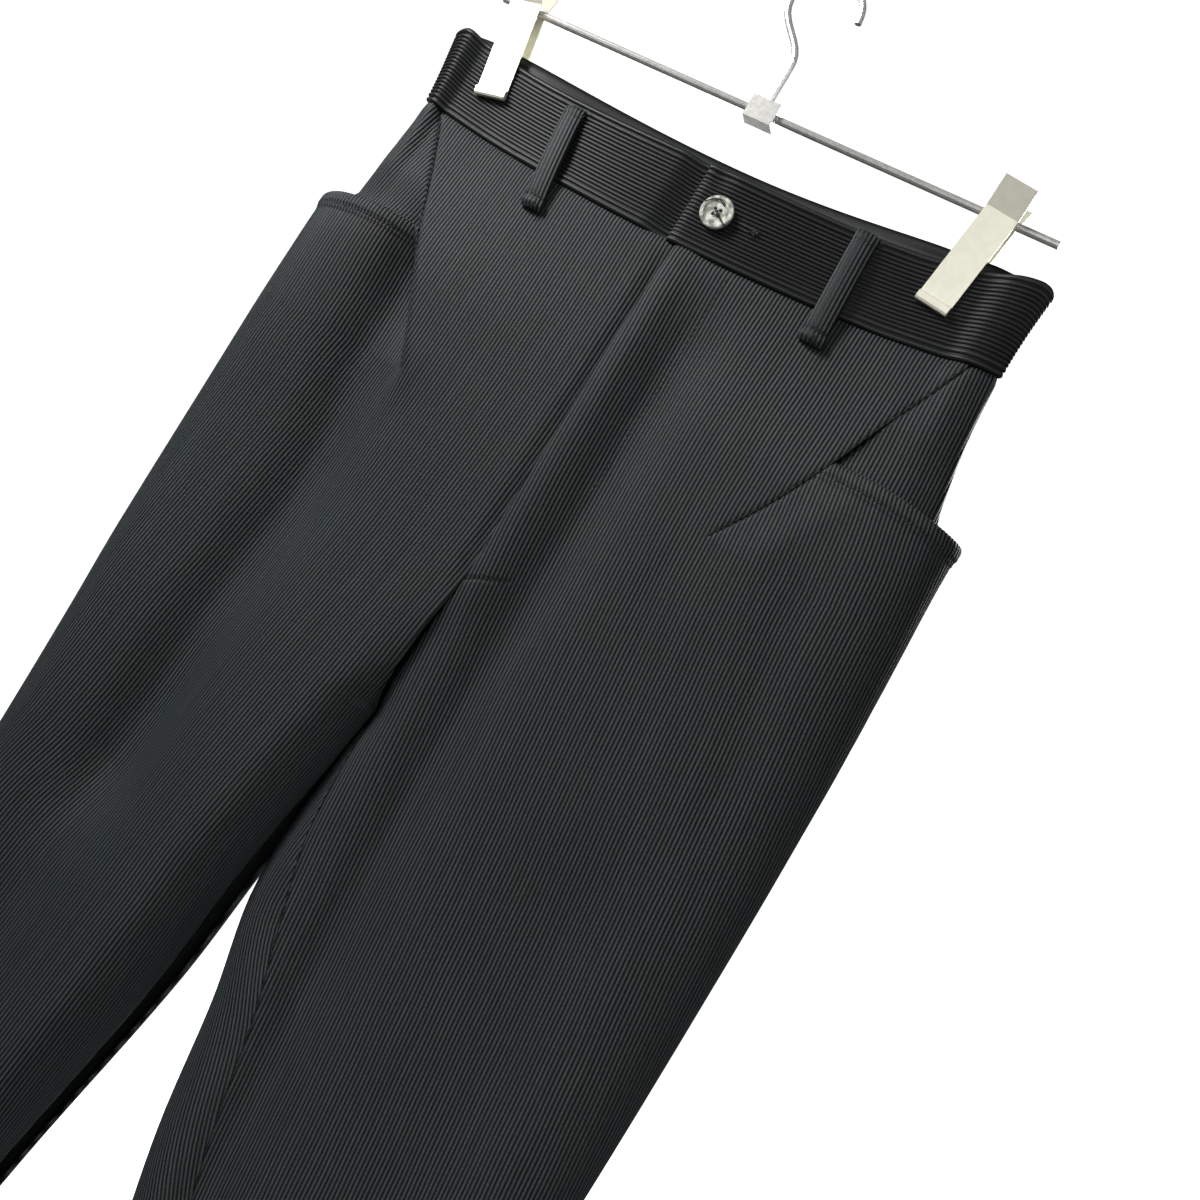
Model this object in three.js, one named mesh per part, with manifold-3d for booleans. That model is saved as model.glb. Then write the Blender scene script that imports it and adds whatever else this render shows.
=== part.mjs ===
// Cropped trousers hanging from a plain clip hanger.
// Millimetres, +Z up. +X is the wearer's left, -Y the front. The origin is where the hook rests on a rod.
import * as THREE from 'three';
import { mergeVertices } from 'three/addons/utils/BufferGeometryUtils.js';
import Module from 'manifold-3d';

const wasm = await Module();
wasm.setup();

// Driving sizes. A level is a height above the fly's lower end, and `out` a distance from the centre line.
const HOOK_RISE = 355;          // from the fly's lower end up to the rod
const HEM_LEVEL = -625;
const CLOTH = 1.6;
const BAND_CLOTH = 2.6;
const LOOP_CLOTH = 1.8;
const SEAM_GAP = 0.3;
const HEM_FOLD = { height: 26, extra: 1.0 };
const MOUTH_FOLD = { height: 9, extra: 1.2 };

// Waistband: levels of its edges at the centre and at the ends
const BAND = {
  seam: 191, endSeam: 206, frontTop: 237, backTop: 248.5, endTop: { left: 258, right: 253 }, end: 174,
};
const BAND_RIBS = { count: 18, relief: 0.55 };
const LAP = { edge: -4.5, underEnd: 30, step: 3.7 };
const PINCH = {
  half: 1.8, depthFront: 13, depthBack: 11, swell: 3.6, jaw: 13, endRound: 7, lower: 222, gone: 110,
};

// Each side's clip place and rounding radii
const SIDES = {
  left: { sign: 1, clip: 127.5, innerRound: 24, outerRound: 42, dartTip: 92 },
  right: { sign: -1, clip: 142.5, innerRound: 44, outerRound: 40, dartTip: 90 },
};

// Outer edge of the hip, above and behind the pocket mouths
const HIP_EDGE = {
  left: [
    { level: 258, out: 171.5 },
    { level: 230, out: 169.3 },
    { level: 206, out: 169 },
    { level: 170, out: 171.6 },
    { level: 131, out: 178 },
    { level: 90, out: 182 },
  ],
  right: [
    { level: 258, out: 176 },
    { level: 206, out: 169.5 },
    { level: 170, out: 172.5 },
    { level: 131, out: 177 },
    { level: 90, out: 180 },
  ],
};

// Outer edge of the pocket layer and the leg
const LEG_EDGE = {
  left: [
    { level: 145, out: 192 },
    { level: 130, out: 193.5 },
    { level: 100, out: 194 },
    { level: 60, out: 195.7 },
    { level: 0, out: 197.6 },
    { level: -100, out: 198.2 },
    { level: -220, out: 197 },
    { level: -420, out: 193 },
    { level: -625, out: 185 },
  ],
  right: [
    { level: 145, out: 189.5 },
    { level: 130, out: 190.6 },
    { level: 100, out: 191.5 },
    { level: 60, out: 192.5 },
    { level: 0, out: 192.8 },
    { level: -75, out: 191 },
    { level: -126, out: 188.3 },
    { level: -185, out: 186.5 },
    { level: -300, out: 186 },
    { level: -420, out: 184 },
    { level: -625, out: 180 },
  ],
};

// Inner edge and depths of each leg; the wearer's right leg hangs rounder and a little in front
const LEGS = {
  left: [
    { level: 258, inner: 0, front: 13, back: 11 },
    { level: 130, inner: 0, front: 18, back: 18 },
    { level: 60, inner: 0, front: 21, back: 23 },
    { level: -3, inner: 0, front: 23, back: 27 },
    { level: -100, inner: -12, front: 25, back: 30 },
    { level: -185, inner: -17.5, front: 26, back: 30 },
    { level: -246, inner: -5.4, front: 26, back: 29 },
    { level: -310, inner: 4.2, front: 26, back: 28 },
    { level: -390, inner: 22, front: 26, back: 27 },
    { level: -500, inner: 37, front: 25, back: 26 },
    { level: -625, inner: 48, front: 24, back: 25 },
  ],
  right: [
    { level: 258, inner: 0, front: 13, back: 11 },
    { level: 130, inner: 0, front: 18, back: 18 },
    { level: 60, inner: 0, front: 22, back: 24 },
    { level: -3, inner: 0, front: 26, back: 28 },
    { level: -100, inner: 12, front: 36, back: 34 },
    { level: -185, inner: 25.5, front: 42, back: 38 },
    { level: -262, inner: 34.6, front: 43, back: 38 },
    { level: -385, inner: 58, front: 40, back: 36 },
    { level: -500, inner: 76, front: 36, back: 34 },
    { level: -625, inner: 89, front: 33, back: 32 },
  ],
};

// Slanted seam from the waistband to the pocket's inner corner, going on as a dart to its tip
const SLANT = {
  left: [
    { level: 210, out: 158.7 },
    { level: 187.5, out: 148.6 },
    { level: 156, out: 135 },
    { level: 130, out: 125 },
    { level: 98, out: 109 },
    { level: 71, out: 92 },
  ],
  right: [
    { level: 206, out: 159 },
    { level: 173.5, out: 142 },
    { level: 155, out: 133 },
    { level: 141, out: 127 },
    { level: 110, out: 111 },
    { level: 71, out: 90 },
  ],
};

// Pocket mouths, by distance out
const MOUTH = {
  left: [
    { out: 124, level: 131 },
    { out: 144, level: 131 },
    { out: 169, level: 129 },
    { out: 194, level: 126 },
  ],
  right: [
    { out: 127, level: 141 },
    { out: 152, level: 140 },
    { out: 174, level: 137.5 },
    { out: 193, level: 133 },
  ],
};
const MOUTH_CORNER = { left: 126, right: 133 };

// Long soft folds in the leg fronts: how far out each trough lies, its depth and its two slopes' widths
const FRONT_FOLDS = {
  left: [{
    top: 185, bottom: -200, depth: 4, inner: 8, outer: 14,
    path: [
      { level: 190, out: 16 },
      { level: 67, out: 20 },
      { level: -73, out: 18 },
      { level: -180, out: 27 },
    ],
  }],
  right: [{
    top: 95, bottom: -520, depth: 7, inner: 17, outer: 34,
    path: [
      { level: 90, out: 101 },
      { level: 61, out: 116 },
      { level: -60, out: 128 },
      { level: -140, out: 136 },
      { level: -372, out: 142 },
      { level: -560, out: 142 },
    ],
  }],
};
const FOLD_FADE = 60;

// How far the wearer's left back panel wraps round the leg's inner edge to the inseam on its front
const WRAP_TOP = -95;
const WRAP = [
  { level: -60, reach: 0 },
  { level: -95, reach: 5 },
  { level: -149, reach: 16 },
  { level: -195, reach: 29 },
  { level: -272, reach: 32 },
  { level: -327, reach: 35 },
  { level: -500, reach: 34 },
  { level: -625, reach: 32 },
];
const POCKET_STAND = { out: 3.2, reach: 26, fade: 110 };
const LIP_RATE = 12;
const CROTCH = { frontTop: -3, backTop: 30, level: -78 };
const YOKE = { low: 102, tuck: 2.6, tuckTop: 168, tuckFull: 143, edge: 12, round: 26 };

// Belt loops: top and lower ends, on the front or the back
const LOOP = { width: 12.5, lift: 3 };
const LOOPS = {
  loop_front_left: { face: 'front', top: [82, 239], foot: [85, 178] },
  loop_front_right: { face: 'front', top: [-86, 234], foot: [-77, 176] },
  loop_back_left: { face: 'back', top: [78, 241], foot: [80, 184] },
  loop_back_right: { face: 'back', top: [-78, 241], foot: [-80, 184] },
  loop_back_centre: { face: 'back', top: [0, 239], foot: [0, 182] },
};

const BUTTON = { x: 12, level: 214, radius: 8.6, thick: 2.6, rim: 1.7, hole: 0.95, spread: 2.1 };

// Hanger: a bar over the waistband, a block with the hook, and two spring clips
const BAR = { level: 276, radius: 2, half: 162 };
const BLOCK = { width: 16, depth: 9, height: 12 };
const HOOK = { wire: 1.8, radius: 19, tipTurn: 200 };
const CLIP = { foot: 220.5, top: 283, width: 17.5, plate: 1.1, lip: 2.2, handle: 7 };
const CLIP_TILT = { left: 7, right: 11 };
const SPRING = { inner: 2.3, outer: 3.8, length: 11 };

const COLOURS = { cloth: 0x2c3033, band: 0x303335, shell: 0x9b9a90, clip: 0xcfc9ab, wire: 0xb9b7ae };

// Small helpers
const DEG = Math.PI / 180;
const FORWARD = new THREE.Vector3(0, -1, 0);
const BACKWARD = new THREE.Vector3(0, 1, 0);
const clamp = (t) => Math.min(Math.max(t, 0), 1);
const mix = (a, b, t) => a + (b - a) * t;
const smooth = (from, to, v) => {
  const t = clamp((v - from) / (to - from));
  return t * t * (3 - 2 * t);
};
const steps = (count, from = 0, to = 1) => (
  Array.from({ length: count + 1 }, (_, i) => mix(from, to, i / count)));

// Reads a table whose first column is `key`, as a smooth curve through its rows
function read(rows, key, at, column) {
  const up = rows[0][key] < rows[rows.length - 1][key];
  const list = up ? rows : [...rows].reverse();
  const last = list.length - 1;
  if (at <= list[0][key]) return list[0][column];
  if (at >= list[last][key]) return list[last][column];
  const i = list.findIndex((row, n) => n < last && at < list[n + 1][key]);
  const slope = (n) => {
    const a = list[Math.max(n - 1, 0)];
    const b = list[Math.min(n + 1, last)];
    return (b[column] - a[column]) / (b[key] - a[key]);
  };
  const span = list[i + 1][key] - list[i][key];
  const t = (at - list[i][key]) / span;
  const rise = t * t * (3 - 2 * t);
  return mix(list[i][column], list[i + 1][column], rise)
    + span * (slope(i) * t * (1 - t) ** 2 - slope(i + 1) * t * t * (1 - t));
}

// A quarter ellipse, from 0 at an edge to 1 at `radius` away from it
const rounding = (distance, radius) => Math.sqrt(1 - (1 - clamp(distance / radius)) ** 2);

// Waistband edges
const seamLevel = (x) => mix(BAND.seam, BAND.endSeam, (Math.abs(x) / BAND.end) ** 1.8);
const endTopLevel = (x) => (x < 0 ? BAND.endTop.right : BAND.endTop.left);
const frontTopLevel = (x) => mix(BAND.frontTop, endTopLevel(x), (Math.abs(x) / BAND.end) ** 2.4);
const backTopLevel = (x) => mix(BAND.backTop, endTopLevel(x), (Math.abs(x) / BAND.end) ** 2);

const hipEdge = (side, level) => read(HIP_EDGE[side], 'level', level, 'out');
const legEdge = (side, level) => read(LEG_EDGE[side], 'level', level, 'out');
const legValue = (side, level, column) => read(LEGS[side], 'level', level, column);
const slantOut = (side, level) => read(SLANT[side], 'level', level, 'out');

// The wearer's left leg stays outside the line where the legs press together
function innerEdge(side, level) {
  const own = legValue(side, level, 'inner');
  return side === 'left' ? Math.max(own, -legValue('right', level, 'inner')) : own;
}

// Half depth where the clips hold the front and back layers together
function pinched(side, out, end, depth) {
  const flatFrom = SIDES[side].clip - PINCH.jaw;
  const flatTo = SIDES[side].clip + PINCH.jaw;
  if (out < flatFrom) {
    return PINCH.half + (depth - PINCH.half) * (1 - (out / flatFrom) ** 2) ** 1.5;
  }
  const t = clamp((out - flatTo) / (end - flatTo));
  return (PINCH.half + PINCH.swell * Math.sin(Math.PI * t) ** 2) * rounding(end - out, PINCH.endRound);
}

// How far the crotch has closed at a level, 0 above it and 1 where the legs have parted
function closing(level, top) {
  const t = clamp((top - level) / (top - CROTCH.level));
  return 1 - Math.sqrt(1 - t * t);
}

function foldDepth(side, out, level) {
  let total = 0;
  for (const fold of FRONT_FOLDS[side]) {
    const from = out - read(fold.path, 'level', level, 'out');
    const width = from < 0 ? fold.inner : fold.outer;
    const fade = smooth(fold.bottom, fold.bottom + FOLD_FADE, level)
      * (1 - smooth(fold.top - FOLD_FADE, fold.top, level));
    total += fold.depth * fade * Math.exp(-((from / width) ** 2));
  }
  return total;
}

// Half depth of the front or back wall at a place, where `edge` is its outer edge at that level
function halfDepth(side, face, out, level, edge) {
  const { innerRound, outerRound } = SIDES[side];
  const depth = legValue(side, level, face);
  const closed = closing(level, face === 'front' ? CROTCH.frontTop : CROTCH.backTop);
  const inner = 1 - closed * (1 - rounding(out - innerEdge(side, level), innerRound));
  let open = depth * rounding(edge - out, outerRound) * inner;
  if (face === 'front') open -= foldDepth(side, out, level) * inner;
  const opened = 1 - smooth(PINCH.gone, PINCH.lower, level);
  const clipDepth = face === 'front' ? PINCH.depthFront : PINCH.depthBack;
  return mix(pinched(side, out, edge, clipDepth), open, opened);
}

// A point of the front or back wall
function wallPoint(side, face, out, level, edge, forward = 0) {
  const half = Math.max(halfDepth(side, face, out, level, edge), 0) + SEAM_GAP / 2 + forward;
  return new THREE.Vector3(SIDES[side].sign * out, face === 'front' ? -half : half, level);
}

// Distance from the inner edge to the inseam; only the wearer's left leg shows it on the front
const wrapReach = (side, level) => (side === 'left' ? read(WRAP, 'level', level, 'reach') : 0);

// Keeps a thickened panel on its own side of the side seam, the centre line, the waist and a slanted seam
function panelLimit(side, face, slanted = null) {
  const { sign } = SIDES[side];
  const half = SEAM_GAP / 2;
  const corner = read(MOUTH[side], 'out', 0, 'level');
  return (point) => {
    const seam = innerEdge(side, point.z) + wrapReach(side, point.z);
    const wrapped = side === 'left' && point.z < WRAP_TOP + 1 && sign * point.x < seam + 8;
    let out = Math.max(sign * point.x, innerEdge(side, point.z) + half);
    if (face === 'front') {
      point.y = Math.min(point.y, -half);
      out = Math.max(out, seam + half);
    } else if (!wrapped) {
      point.y = Math.max(point.y, half);
    } else if (point.y < -half) {
      out = Math.min(out, seam - half);
    }
    point.z = Math.min(point.z, seamLevel(point.x) - half);
    if (slanted === 'inside' && point.z > corner) out = Math.min(out, slantOut(side, point.z) - half);
    if (slanted === 'outside' && point.z > corner) out = Math.max(out, slantOut(side, point.z) + half);
    point.x = sign * out;
  };
}

function bandLimit(face) {
  const half = SEAM_GAP / 2;
  return (point) => {
    point.y = face === 'front' ? Math.min(point.y, -half) : Math.max(point.y, half);
    point.z = Math.max(point.z, seamLevel(point.x) + half);
  };
}

// Columns that crowd together where the wall turns in at an edge, running out from it or up to it
const turnIn = (count, edge, radius) => (
  steps(count).map((t) => edge + radius * (1 - Math.cos(t * Math.PI / 2))));
const turnOut = (count, edge, radius) => turnIn(count, 0, radius).map((d) => edge - d).reverse();

// Builds one closed wall from patches of points; touching patches share their points.
// Each patch is rows of { point, extra }, where extra is added to the outer face only.
function sheet(patches, thickness, outward, limit = () => {}) {
  const points = [];
  const extras = [];
  const index = new Map();
  const faces = [];
  const idOf = ({ point, extra = 0 }) => {
    const name = point.toArray().map((v) => Math.round(v * 200)).join(' ');
    if (!index.has(name)) {
      index.set(name, points.length);
      points.push(point.clone());
      extras.push(extra);
    }
    return index.get(name);
  };
  for (const patch of patches) {
    const ids = patch.map((row) => row.map(idOf));
    for (let r = 0; r + 1 < ids.length; r += 1) {
      for (let c = 0; c + 1 < ids[r].length; c += 1) {
        faces.push([ids[r][c], ids[r][c + 1], ids[r + 1][c + 1]]);
        faces.push([ids[r][c], ids[r + 1][c + 1], ids[r + 1][c]]);
      }
    }
  }
  const normals = points.map(() => new THREE.Vector3());
  const normalOf = ([a, b, c]) => new THREE.Vector3().crossVectors(
    points[b].clone().sub(points[a]), points[c].clone().sub(points[a]));
  for (const face of faces) face.forEach((id) => normals[id].add(normalOf(face)));
  normals.forEach((n) => n.normalize());
  const probe = faces[0];
  if (normals[probe[0]].dot(outward) < 0) {
    normals.forEach((n) => n.negate());
    faces.forEach((face) => face.reverse());
  }
  const count = points.length;
  const outer = points.map((p, i) => p.clone().addScaledVector(normals[i], thickness / 2 + extras[i]));
  const inner = points.map((p, i) => p.clone().addScaledVector(normals[i], -thickness / 2));
  [...outer, ...inner].forEach(limit);
  const triangles = [];
  const edges = new Map();
  for (const [a, b, c] of faces) {
    triangles.push(a, b, c, a + count, c + count, b + count);
    for (const [p, q] of [[a, b], [b, c], [c, a]]) {
      if (!edges.delete(`${q} ${p}`)) edges.set(`${p} ${q}`, [p, q]);
    }
  }
  for (const [p, q] of edges.values()) triangles.push(q, p, p + count, q, p + count, q + count);
  const geometry = new THREE.BufferGeometry();
  const places = [...outer, ...inner].flatMap((p) => p.toArray());
  geometry.setAttribute('position', new THREE.Float32BufferAttribute(places, 3));
  geometry.setIndex(triangles);
  return geometry;
}

// Level rows, closer together where the shape changes quickly
const LEG_LEVELS = [HEM_LEVEL, HEM_LEVEL + HEM_FOLD.height, -560, -500, -440, -385, -335, -290, -246, -205,
  -165, -125, -95, CROTCH.level, -70, -58, -42, -22, CROTCH.frontTop, 20, 45];
const hemExtra = (level) => (level < HEM_LEVEL + HEM_FOLD.height + 1 ? HEM_FOLD.extra : 0);

// A leg front: its upper patch up to the waistband, and its pocket layer outside the slanted dart
function frontPanel(side) {
  const { innerRound, outerRound, dartTip } = SIDES[side];
  const turns = 4;
  const inside = (level, end) => {
    const lip = SEAM_GAP / 2 + (CLOTH / 2) * clamp(closing(level, CROTCH.frontTop) * LIP_RATE);
    const edge = innerEdge(side, level) + lip;
    const turned = turnIn(turns, edge, innerRound);
    const start = edge + wrapReach(side, level);
    return [...turned, ...steps(3, edge + innerRound, end).slice(1)]
      .map((out) => start + (out - edge) * (end - start) / (end - edge));
  };
  const outside = (level, start) => {
    const edge = legEdge(side, level);
    return [...steps(3, start, edge - outerRound).slice(0, -1), ...turnOut(turns, edge, outerRound)];
  };
  const stand = (out, level, start) => POCKET_STAND.out
    * smooth(start, start + POCKET_STAND.reach, out)
    * smooth(0, POCKET_STAND.fade, level)
    * rounding(legEdge(side, level) - out, outerRound / 2);
  const at = (out, level, start = dartTip, extra = 0) => (
    { point: wallPoint(side, 'front', out, level, legEdge(side, level), stand(out, level, start)), extra });
  const tip = SLANT[side][SLANT[side].length - 1].level;
  const slant = (level) => slantOut(side, level);

  const legRows = [...LEG_LEVELS, tip].map((level) => (
    [...inside(level, dartTip), ...outside(level, dartTip).slice(1)]
      .map((out) => at(out, level, dartTip, hemExtra(level)))));

  const upper = steps(7).map((f) => {
    const columns = inside(tip, dartTip).length;
    return steps(columns - 1).map((_, c) => {
      const topOut = inside(BAND.seam, slant(BAND.endSeam) - SEAM_GAP)[c];
      const level = mix(tip, seamLevel(topOut) - SEAM_GAP / 2, f);
      const end = f === 0 ? dartTip : slant(level) - SEAM_GAP;
      const out = inside(level, end)[c];
      const edge = mix(legEdge(side, level), hipEdge(side, level), smooth(tip, 120, level));
      return { point: wallPoint(side, 'front', out, level, edge) };
    });
  });

  const mouthRows = [0, 0.3, 0.6, 0.84, 0.85, 1];
  const pocket = mouthRows.map((f) => {
    const columns = outside(tip, dartTip).length;
    return steps(columns - 1).map((_, c) => {
      const topOut = outside(MOUTH_CORNER[side], slant(MOUTH_CORNER[side]))[c];
      const level = mix(tip, read(MOUTH[side], 'out', topOut, 'level'), f);
      const start = f === 0 ? dartTip : slant(level) + SEAM_GAP;
      return at(outside(level, start)[c], level, start, f > 0.84 ? MOUTH_FOLD.extra : 0);
    });
  });
  return sheet([legRows, upper, pocket], CLOTH, FORWARD, panelLimit(side, 'front', 'inside'));
}

// The hip panel behind a pocket mouth, tucked behind the pocket layer and ending plainly below it
function yokePanel(side) {
  const corner = read(MOUTH[side], 'out', 0, 'level');
  const start = (level) => slantOut(side, Math.max(level, corner)) + SEAM_GAP / 2;
  const rows = steps(6).map((f) => steps(8).map((_, c) => {
    const columns = (level) => {
      const edge = hipEdge(side, level);
      const from = start(level);
      const reach = Math.min(YOKE.round, edge - from - 2);
      return [...steps(4, from, edge - reach).slice(0, -1), ...turnOut(4, edge, reach)];
    };
    const topOut = columns(BAND.endSeam)[c];
    const level = mix(YOKE.low, seamLevel(topOut) - SEAM_GAP / 2, f);
    const out = columns(level)[c];
    const tuck = YOKE.tuck * (1 - smooth(YOKE.tuckFull, YOKE.tuckTop, level))
      * rounding(hipEdge(side, level) - out, YOKE.edge);
    return { point: wallPoint(side, 'front', out, level, hipEdge(side, level), -tuck) };
  }));
  return sheet([rows], CLOTH, FORWARD, panelLimit(side, 'front', 'outside'));
}

function backPanel(side) {
  const { innerRound, outerRound } = SIDES[side];
  const corner = MOUTH_CORNER[side];
  const edgeAt = (level) => (
    mix(legEdge(side, level), hipEdge(side, level), smooth(corner - 4, corner + 12, level)));
  const columns = (level) => {
    const lip = SEAM_GAP / 2 + (CLOTH / 2) * clamp(closing(level, CROTCH.backTop) * LIP_RATE);
    const inner = innerEdge(side, level) + lip;
    const edge = edgeAt(level);
    const middle = steps(5, inner + innerRound, edge - outerRound).slice(1, -1);
    return [...turnIn(4, inner, innerRound), ...middle, ...turnOut(4, edge, outerRound)];
  };
  const low = LEG_LEVELS.filter((level) => level !== 20).concat([15, 80, 105, corner - 5])
    .sort((a, b) => a - b);
  const legRows = low.map((level) => columns(level).map((out) => (
    { point: wallPoint(side, 'back', out, level, edgeAt(level)), extra: hemExtra(level) })));
  const start = low[low.length - 1];
  const hipRows = [0, 0.09, 0.18, 0.4, 0.62, 0.82, 1].map((f) => columns(start).map((_, c) => {
    const topOut = columns(BAND.endSeam)[c];
    const level = mix(start, seamLevel(topOut) - SEAM_GAP / 2, f);
    return { point: wallPoint(side, 'back', columns(level)[c], level, edgeAt(level)) };
  }));
  const wrapRows = LEG_LEVELS.filter((level) => level < WRAP_TOP + 1).map((level) => {
    const edge = columns(level)[0];
    const reach = wrapReach(side, level) - SEAM_GAP;
    const turned = turnIn(4, 0, 1).slice(1).map((t) => (
      { point: wallPoint(side, 'front', edge + t * reach, level, edgeAt(level)), extra: hemExtra(level) }));
    const last = { point: wallPoint(side, 'back', edge, level, edgeAt(level)), extra: hemExtra(level) };
    return [...turned.reverse(), last];
  });
  const patches = side === 'left' ? [legRows, hipRows, wrapRows] : [legRows, hipRows];
  return sheet(patches, CLOTH, BACKWARD, panelLimit(side, 'back'));
}

// Waistband pieces: ribs along the band are raised in the outer points over a plain inside
function bandRows(xs, place) {
  const rows = BAND_RIBS.count * 2;
  return steps(rows).map((f, r) => xs.map((x) => (
    { point: place(x, f), extra: r % 2 === 1 ? BAND_RIBS.relief : 0 })));
}

function bandPoint(x, f, face, topLevel, shift = 0) {
  const side = x < 0 ? 'right' : 'left';
  const low = seamLevel(x) + SEAM_GAP / 2;
  const level = mix(low, topLevel(x), f);
  const edge = hipEdge(side, level);
  return wallPoint(side, face, Math.abs(x) * edge / BAND.end, level, edge, shift);
}

const bandEnd = turnOut(3, BAND.end, PINCH.endRound);

function waistbandFront(side) {
  const { sign, clip } = SIDES[side];
  const toEnd = [clip - 12, clip + 12, mix(clip + 12, BAND.end - PINCH.endRound, 0.5), ...bandEnd];
  if (side === 'left') {
    const xs = [LAP.edge, 24, 52, 76, 98, ...toEnd];
    const lapping = (x, f) => bandPoint(x, f, 'front', frontTopLevel);
    return sheet([bandRows(xs, lapping)], BAND_CLOTH, FORWARD, bandLimit('front'));
  }
  const outs = [-LAP.underEnd, -8, 7, 20, 48, 76, 106, ...toEnd];
  const xs = outs.map((out) => sign * out);
  const place = (x, f) => bandPoint(x, f, 'front', frontTopLevel, -LAP.step * smooth(-20, -7, x));
  return sheet([bandRows(xs, place)], BAND_CLOTH, FORWARD, bandLimit('front'));
}

function waistbandBack() {
  const half = (side) => {
    const { clip } = SIDES[side];
    return [34, 66, 94, clip - 12, clip + 12, mix(clip + 12, BAND.end - PINCH.endRound, 0.5), ...bandEnd];
  };
  const xs = [...half('right').map((out) => -out).reverse(), 0, ...half('left')];
  const place = (x, f) => bandPoint(x, f, 'back', backTopLevel);
  return sheet([bandRows(xs, place)], BAND_CLOTH, BACKWARD, bandLimit('back'));
}

// A belt loop: the band's and panel's own points moved out, lifted clear between its two sewn ends
function beltLoop({ face, top, foot }) {
  const rows = steps(10).map((f) => steps(3, -0.5, 0.5).map((across) => {
    const x = mix(foot[0], top[0], f) + across * LOOP.width;
    const level = mix(foot[1], top[1], f);
    const side = x < 0 ? 'right' : 'left';
    const seat = BAND_CLOTH / 2 + BAND_RIBS.relief + SEAM_GAP + LOOP_CLOTH / 2;
    const lift = seat + LOOP.lift * Math.sqrt(Math.sin(Math.PI * f));
    return { point: wallPoint(side, face, Math.abs(x), level, hipEdge(side, level), lift) };
  }));
  return sheet([rows], LOOP_CLOTH, face === 'front' ? FORWARD : BACKWARD);
}

// Turns a closed three.js geometry into a solid, and back
function solid(geometry) {
  const bare = geometry.clone();
  bare.deleteAttribute('normal');
  bare.deleteAttribute('uv');
  const merged = mergeVertices(bare, 1e-4);
  return new wasm.Manifold(new wasm.Mesh({
    numProp: 3,
    vertProperties: new Float32Array(merged.attributes.position.array),
    triVerts: new Uint32Array(merged.index.array),
  }));
}

function geometryOf(manifold) {
  const mesh = manifold.getMesh();
  const geometry = new THREE.BufferGeometry();
  geometry.setAttribute('position', new THREE.Float32BufferAttribute(mesh.vertProperties, 3));
  geometry.setIndex([...mesh.triVerts]);
  return geometry;
}

// A dished shell button with a raised rim and four sewing holes, its axis along Z, its back at z = 0
function buttonGeometry() {
  const { radius, thick, rim, hole, spread } = BUTTON;
  const profile = [[0, 0], [radius - 0.8, 0], [radius, 0.8], [radius, thick - 0.5], [radius - 0.5, thick],
    [radius - rim, thick], [radius - rim - 0.8, thick - 0.8], [0, thick - 0.8]]
    .map(([x, y]) => new THREE.Vector2(x, y));
  const body = new THREE.LatheGeometry(profile, 28);
  body.rotateX(Math.PI / 2);
  let button = solid(body);
  for (const turn of [45, 135, 225, 315]) {
    const drill = new THREE.CylinderGeometry(hole, hole, thick * 3, 8);
    drill.rotateX(Math.PI / 2);
    drill.translate(spread * Math.cos(turn * DEG), spread * Math.sin(turn * DEG), 0);
    button = button.subtract(solid(drill));
  }
  return geometryOf(button);
}

// Extrudes an outline drawn in (y, level) along x
function extrudeAcross(outline, width) {
  const shape = new THREE.Shape(outline.map(([y, z]) => new THREE.Vector2(y, z)));
  const geometry = new THREE.ExtrudeGeometry(shape, { depth: width, bevelEnabled: false });
  geometry.translate(0, 0, -width / 2);
  geometry.applyMatrix4(new THREE.Matrix4().makeBasis(
    new THREE.Vector3(0, 1, 0), new THREE.Vector3(0, 0, 1), new THREE.Vector3(1, 0, 0)));
  return geometry;
}

// One jaw of a clip: a flat plate with a folded lower lip and a short handle leaning out over the bar
function jawGeometry(direction) {
  const face = PINCH.half + SEAM_GAP / 2 + BAND_CLOTH / 2 + BAND_RIBS.relief + SEAM_GAP;
  const back = face + CLIP.plate;
  const foot = CLIP.foot - BAR.level;
  const top = CLIP.top - BAR.level;
  const outline = [[face, foot + 1], [face + 0.6, foot], [back + CLIP.lip - 0.6, foot],
    [back + CLIP.lip, foot + 1], [back + CLIP.lip, foot + 4], [back, foot + 5.5], [back, top - 6],
    [back + CLIP.handle, top + 8], [back + CLIP.handle - CLIP.plate, top + 8.6], [face, top - 5]]
    .map(([y, z]) => [direction * y, z]);
  return extrudeAcross(outline, CLIP.width);
}

function springGeometry() {
  const half = SPRING.length / 2;
  const profile = [[SPRING.inner, -half], [SPRING.outer, -half], [SPRING.outer, half], [SPRING.inner, half],
    [SPRING.inner, -half]].map(([x, y]) => new THREE.Vector2(x, y));
  const geometry = new THREE.LatheGeometry(profile, 16);
  geometry.rotateZ(Math.PI / 2);
  return geometry;
}

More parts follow.
